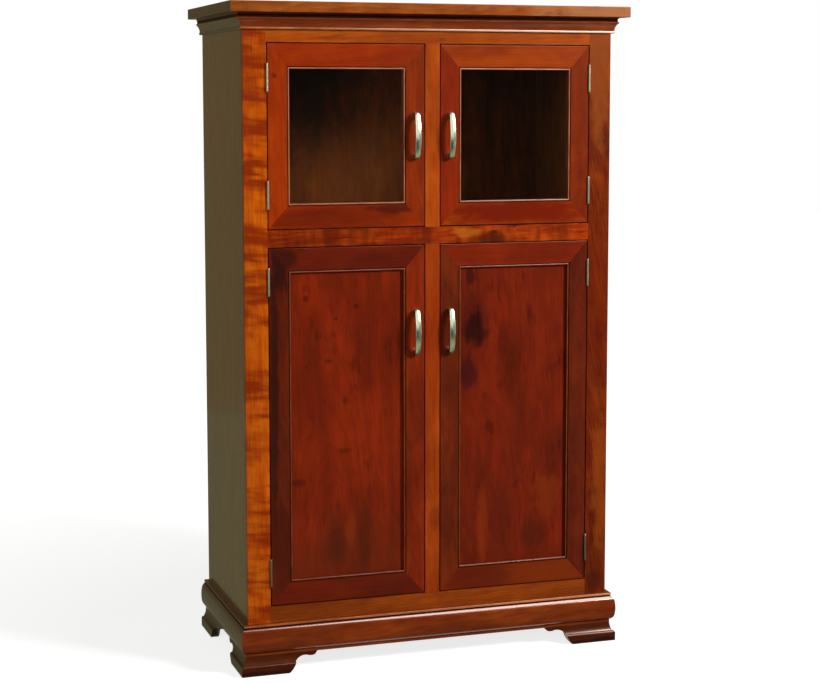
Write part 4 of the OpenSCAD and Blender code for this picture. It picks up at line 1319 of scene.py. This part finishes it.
# %% Pulls
PULL_HALF_W = 7.0
PULL_NARROWING = 1.5
PULL_HALF = 55.5
PULL_T = 6.0
PULL_CROWN = 1.9
PULL_END_R = 9.0
PULL_EASE = 1.1
# The bow is part of a circle whose middle lies behind the door; its inner radius, and the degrees
# that its outer and inner lines swing.
BOW_MIDDLE = -120.0
BOW_INNER_R = 142.0
BOW_SWING = (37.3, 29.84)
# Each bend into a foot: its centre along the pull and out from the door, and its degrees.
OUTER_BEND = (43.5, 8.85, 71.34)
INNER_BEND = (34.5, 9.48, 75.08)
PULL_FOOT_IN = 42.5
RIDGE_SHARP = math.radians(20)
PULL_CUTS = (-0.85, -0.6, -0.3, 0, 0.3, 0.6, 0.85)


def build_pull(middle_x, middle_z):
    """One pull, with its middle at this place of the door's face."""
    outer_at, outer_up, outer_turn = OUTER_BEND
    inner_at, inner_up, inner_turn = INNER_BEND
    bm = outline([
        (-PULL_HALF, 0), (-PULL_HALF, outer_up), (-outer_at, outer_up, -outer_turn, 10),
        (0, BOW_MIDDLE, -BOW_SWING[0], 32), (outer_at, outer_up, -outer_turn, 10), (PULL_HALF, 0),
        (PULL_FOOT_IN, 0), (PULL_FOOT_IN, inner_up), (inner_at, inner_up, inner_turn, 8),
        (0, BOW_MIDDLE, BOW_SWING[1], 24), (-inner_at, inner_up, inner_turn, 8),
        (-PULL_FOOT_IN, 0),
    ])
    made = bmesh.ops.extrude_face_region(bm, geom=bm.faces[:], use_keep_orig=True)
    for g in made["geom"]:
        if isinstance(g, bmesh.types.BMVert):
            g.co.z = 1
    # Across the pull z now runs from 0 to 1; from here on it is a share, -1 to 1.
    for vertex in bm.verts:
        vertex.co.z = vertex.co.z * 2 - 1
    slice_at(bm, PULL_CUTS, (0, 0, 1))
    flank_edges = [e for e in bm.edges if all(abs(abs(v.co.z) - 1) < 0.001 for v in e.verts)]
    end_at = PULL_HALF - PULL_END_R
    for vertex in bm.verts:
        u, out, share = vertex.co
        x = share * (PULL_HALF_W - PULL_NARROWING * (u / PULL_HALF) ** 2)
        inner = BOW_MIDDLE + math.sqrt(BOW_INNER_R ** 2 - u ** 2)
        crown = min(1, max(0, (out - inner) / PULL_T))
        if abs(u) > end_at:
            rounding = math.sqrt(PULL_END_R ** 2 - x * x) / PULL_END_R
            u = math.copysign(end_at + (abs(u) - end_at) * rounding, u)
        out -= crown * PULL_CROWN * abs(x) / PULL_HALF_W
        vertex.co = Vector((middle_x + x, FACE_Y - out, middle_z + u)) * MM
    bmesh.ops.recalc_face_normals(bm, faces=bm.faces)
    bmesh.ops.bevel(
        bm, geom=flank_edges, offset=PULL_EASE * MM, offset_type="OFFSET", segments=5, profile=0.5,
        affect="EDGES", clamp_overlap=True, material=-1,
    )
    return bm


def pull_middle(door):
    """Middle of a door's pull: x and z in mm."""
    low, high = in_mm(door + "_pull")
    return ((low + high) / 2).xz


for door in door_tones:
    piece(door + "_pull_casting", build_pull(*pull_middle(door)), [NICKEL], "satin_nickel",
          door + "_pull", sharp=RIDGE_SHARP)
print("pulls reach", round(FACE_Y - in_mm("upper_left_pull")[0].y), "mm out")

# %% [markdown]
# ## Screws
#
# A countersunk screw shows a flat head with a cross recess. The head is a short round bar with its
# top inset, the inset pinched to a cross and pushed down. The shank sits in the wood and is plain.

# %% Round bars and screw heads
SCREW_R = 1.6
SCREW_HEAD_R = 2.6
SCREW_HEAD_T = 0.35
SCREW_LEN = 14.0
SHANK_START = 0.4
RECESS_RIM = 0.3      # the recess starts this share of the radius in from the rim
RECESS_PINCH = 0.42   # between the arms it is pulled in to this share
RECESS_ARM = 0.62     # how near its corners are to a diagonal, which is between the arms
RECESS_DEPTH = 0.8


def turn_to(bm, angles):
    """Turns a bmesh about the origin, by degrees about x, y and z."""
    turn = Euler([math.radians(a) for a in angles]).to_matrix()
    bmesh.ops.rotate(bm, cent=(0, 0, 0), matrix=turn, verts=bm.verts)


def turned(radius, length, middle, axis="z", top=None, ease=0.3, segments=32):
    """A round bar, or a cone where top is given, with rounded rims; sizes in mm."""
    bm = bmesh.new()
    bmesh.ops.create_cone(
        bm, cap_ends=True, segments=segments, radius1=radius * MM,
        radius2=(radius if top is None else top) * MM, depth=length * MM,
    )
    soften(bm, ease, least=math.radians(50))
    turn_to(bm, {"x": (0, 90, 0), "y": (-90, 0, 0), "z": (0, 0, 0)}[axis])
    bmesh.ops.translate(bm, vec=Vector(middle) * MM, verts=bm.verts)
    return bm


def screw_head(bm, middle, towards, radius=SCREW_HEAD_R, thick=SCREW_HEAD_T):
    """A flat head with a cross recess; towards is +1 or -1 along x, or "y" for the +y side."""
    head = bmesh.new()
    bmesh.ops.create_cone(
        head, cap_ends=True, segments=24, radius1=radius * MM, radius2=radius * MM, depth=thick * MM
    )
    turn_to(head, (0, 0, 7.5))    # half a segment, so that no corner lies on an axis
    crown = max(head.faces, key=lambda face: face.calc_center_median().z)
    bmesh.ops.inset_region(head, faces=[crown], thickness=radius * RECESS_RIM * MM)
    for vertex in crown.verts:
        x, y = vertex.co.xy
        if abs(abs(x) - abs(y)) < RECESS_ARM * math.hypot(x, y):
            vertex.co.x *= RECESS_PINCH
            vertex.co.y *= RECESS_PINCH
    deeper = bmesh.ops.extrude_discrete_faces(head, faces=[crown])["faces"][0]
    bmesh.ops.translate(head, vec=(0, 0, -thick * RECESS_DEPTH * MM), verts=deeper.verts)
    turn_to(head, (-90, 0, 0) if towards == "y" else (0, 90 * towards, 0))
    bmesh.ops.translate(head, vec=Vector(middle) * MM, verts=head.verts)
    join(bm, head)


print("screw heads", 2 * SCREW_HEAD_R, "mm wide")

# %% [markdown]
# ## Hinges
#
# A butt hinge is two stamped leaves whose knuckles interlock round a pin with button tips. The
# leaves lie in the gap beside the door, so a shut door shows only the barrel, and an open one shows
# the leaves and their countersunk screws. The leaf on the door swings with it; the leaf on the
# frame and the pin stay, so all eight of each are one piece.

# %% Hinges
LEAF_T = 1.0
LEAF_W = 15.0
LEAF_EASE = 0.2
KNUCKLE_R = 2.4
KNUCKLES = 5
KNUCKLE_ROOM = 0.15   # free on each side of a knuckle
KNUCKLE_ROOT = 0.5    # how far a knuckle's strap overlaps its leaf
HINGE_LEN = 64.0
DOOR_GAP = 2.5
PIN_R = 1.25
PIN_SPARE = 1.0       # how much longer the pin is than the barrel
PIN_Y = FACE_Y - 3.0
BUTTON_RS = (2.2, 1.4)
BUTTON_H = 1.4
BUTTON_AT = 0.55      # middle of a button beyond the barrel's end
SCREW_Y = FACE_Y + LEAF_W * 0.58
SCREW_SPREAD = 0.36   # outer screws from the middle, as a share of the hinge's length


def hinge_places(door):
    """Side of a door's hinges and the heights of their middles."""
    low, high = in_mm(door + "_hinge_leaves")
    return (-1 if low.x < 0 else 1), [low.z + HINGE_LEN / 2, high.z - HINGE_LEN / 2]


def add_leaf(bm, side, plate_x, pin_x, middle_z, knuckles):
    """A leaf in the gap, whose plate fills plate_x to plate_x + 1 from the middle."""
    z0 = middle_z - HINGE_LEN / 2
    one = HINGE_LEN / KNUCKLES
    near, far = sorted((side * plate_x, side * (plate_x + LEAF_T)))
    join(bm, block((near, FACE_Y, z0), (far, FACE_Y + LEAF_W, z0 + HINGE_LEN), LEAF_EASE))
    for k in knuckles:
        low, high = z0 + k * one + KNUCKLE_ROOM, z0 + (k + 1) * one - KNUCKLE_ROOM
        middle = (side * pin_x, PIN_Y, (low + high) / 2)
        join(bm, turned(KNUCKLE_R, high - low, middle, ease=0.35))
        join(bm, block((near, PIN_Y, low), (far, FACE_Y + KNUCKLE_ROOT, high), LEAF_EASE))


def add_pin(bm, x, middle_z):
    """A hinge pin with a button at each end, narrower outwards."""
    join(bm, turned(PIN_R, HINGE_LEN + PIN_SPARE, (x, PIN_Y, middle_z)))
    for end in (-1, 1):
        low_r, high_r = BUTTON_RS[::end]
        middle = (x, PIN_Y, middle_z + end * (HINGE_LEN / 2 + BUTTON_AT))
        join(bm, turned(low_r, BUTTON_H, middle, top=high_r, ease=0.4))


def add_screws(bm, side, leaf_face, into, middle_z):
    """Three screws of a leaf from its face into the wood; into is 1 outwards, -1 inwards."""
    for share in (-SCREW_SPREAD, 0, SCREW_SPREAD):
        z = middle_z + share * HINGE_LEN
        head_x = leaf_face + into * SCREW_HEAD_T / 2
        shank_x = leaf_face + into * (SHANK_START + SCREW_LEN / 2)
        screw_head(bm, (side * head_x, SCREW_Y, z), -into * side)
        join(bm, turned(SCREW_R, SCREW_LEN - SHANK_START, (side * shank_x, SCREW_Y, z), "x",
                        segments=12))


frame_leaves, pins, frame_screws = bmesh.new(), bmesh.new(), bmesh.new()
door_leaves = {door: bmesh.new() for door in door_tones}
fixings = {door: bmesh.new() for door in door_tones}
for door in door_tones:
    side, middles = hinge_places(door)
    door_edge = max(abs(v.x) for v in in_mm(door + "_hinge_stile"))
    frame_edge = door_edge + DOOR_GAP
    pin_x = (door_edge + frame_edge) / 2
    for middle_z in middles:
        add_leaf(frame_leaves, side, frame_edge - LEAF_T, pin_x, middle_z, (0, 2, 4))
        add_leaf(door_leaves[door], side, door_edge, pin_x, middle_z, (1, 3))
        add_pin(pins, side * pin_x, middle_z)
        add_screws(frame_screws, side, frame_edge - LEAF_T, 1, middle_z)
        add_screws(fixings[door], side, door_edge + LEAF_T, -1, middle_z)
print("hinges", HINGE_LEN, "mm long, barrel", 2 * KNUCKLE_R, "mm thick")

# %% [markdown]
# ## Pull screws, strikes and small fittings
#
# Behind each pull two screws come through the door from the inside, with their heads on its back.
# The strike is a stamped steel plate that meets the magnetic catch. The shelf pins are turned and
# the catches moulded, and both keep the shape of their CAD node with softened edges. Each door's
# screws and strike are one piece, as they never part.

# %% Fittings
PULL_SCREW_AT = 48     # from the pull's middle
PULL_SCREW_R = 2.0
PULL_SCREW_LEN = 24.5
PULL_SCREW_Y = 6.5     # middle of the shank behind the door's face
PULL_HEAD_RS = (4.0, 3.2)
PULL_HEAD_T = 2.0
PULL_CROSS_R = 3.0
PULL_CROSS_T = 0.4
MULLION_HALF = 18
STRIKE_IN = 2.0        # from the door's edge
STRIKE_W = 11
STRIKE_HALF_H = 19
STRIKE_T = 1.2
STRIKE_FROM_END = 22   # its middle from the catch's far end

back_y = FACE_Y + DOOR_T
catches_low, catches_high = in_mm("door_catches")
strike_x = MULLION_HALF + DOOR_GAP + STRIKE_IN
for door, bm in fixings.items():
    side = hinge_places(door)[0]
    pull_x, pull_z = pull_middle(door)
    for z in (pull_z - PULL_SCREW_AT, pull_z + PULL_SCREW_AT):
        shank = (pull_x, FACE_Y + PULL_SCREW_Y, z)
        join(bm, turned(PULL_SCREW_R, PULL_SCREW_LEN, shank, "y", segments=16))
        head = (pull_x, back_y + PULL_HEAD_T / 2, z)
        join(bm, turned(PULL_HEAD_RS[0], PULL_HEAD_T, head, "y", top=PULL_HEAD_RS[1]))
        cross = (pull_x, back_y + PULL_HEAD_T + PULL_CROSS_T / 2, z)
        screw_head(bm, cross, "y", radius=PULL_CROSS_R, thick=PULL_CROSS_T)
    upper = door.startswith("upper")
    strike_z = catches_high.z - STRIKE_FROM_END if upper else catches_low.z + STRIKE_FROM_END
    join(bm, block(
        (side * strike_x, back_y, strike_z - STRIKE_HALF_H),
        (side * (strike_x + STRIKE_W), back_y + STRIKE_T, strike_z + STRIKE_HALF_H), 0.3))
    piece(door + "_hinge_leaf", door_leaves[door], [HINGE_NICKEL], "satin_nickel",
          door + "_hinge_leaves")
    piece(door + "_screws_and_strike", bm, [NICKEL], "satin_nickel", door + "_fixings")
piece("hinge_frame_leaf", frame_leaves, [HINGE_NICKEL], "satin_nickel", "hinge_frame_leaves")
piece("hinge_pin", pins, [HINGE_NICKEL], "satin_nickel", "hinge_pins")
piece("hinge_frame_screw", frame_screws, [NICKEL], "satin_nickel", "hinge_frame_screws")
eased("shelf_pins", NICKEL, "satin_nickel", 0.25, shortest=1.5)
eased("door_catches", PLASTIC, "catch_body", 0.8, shortest=2)
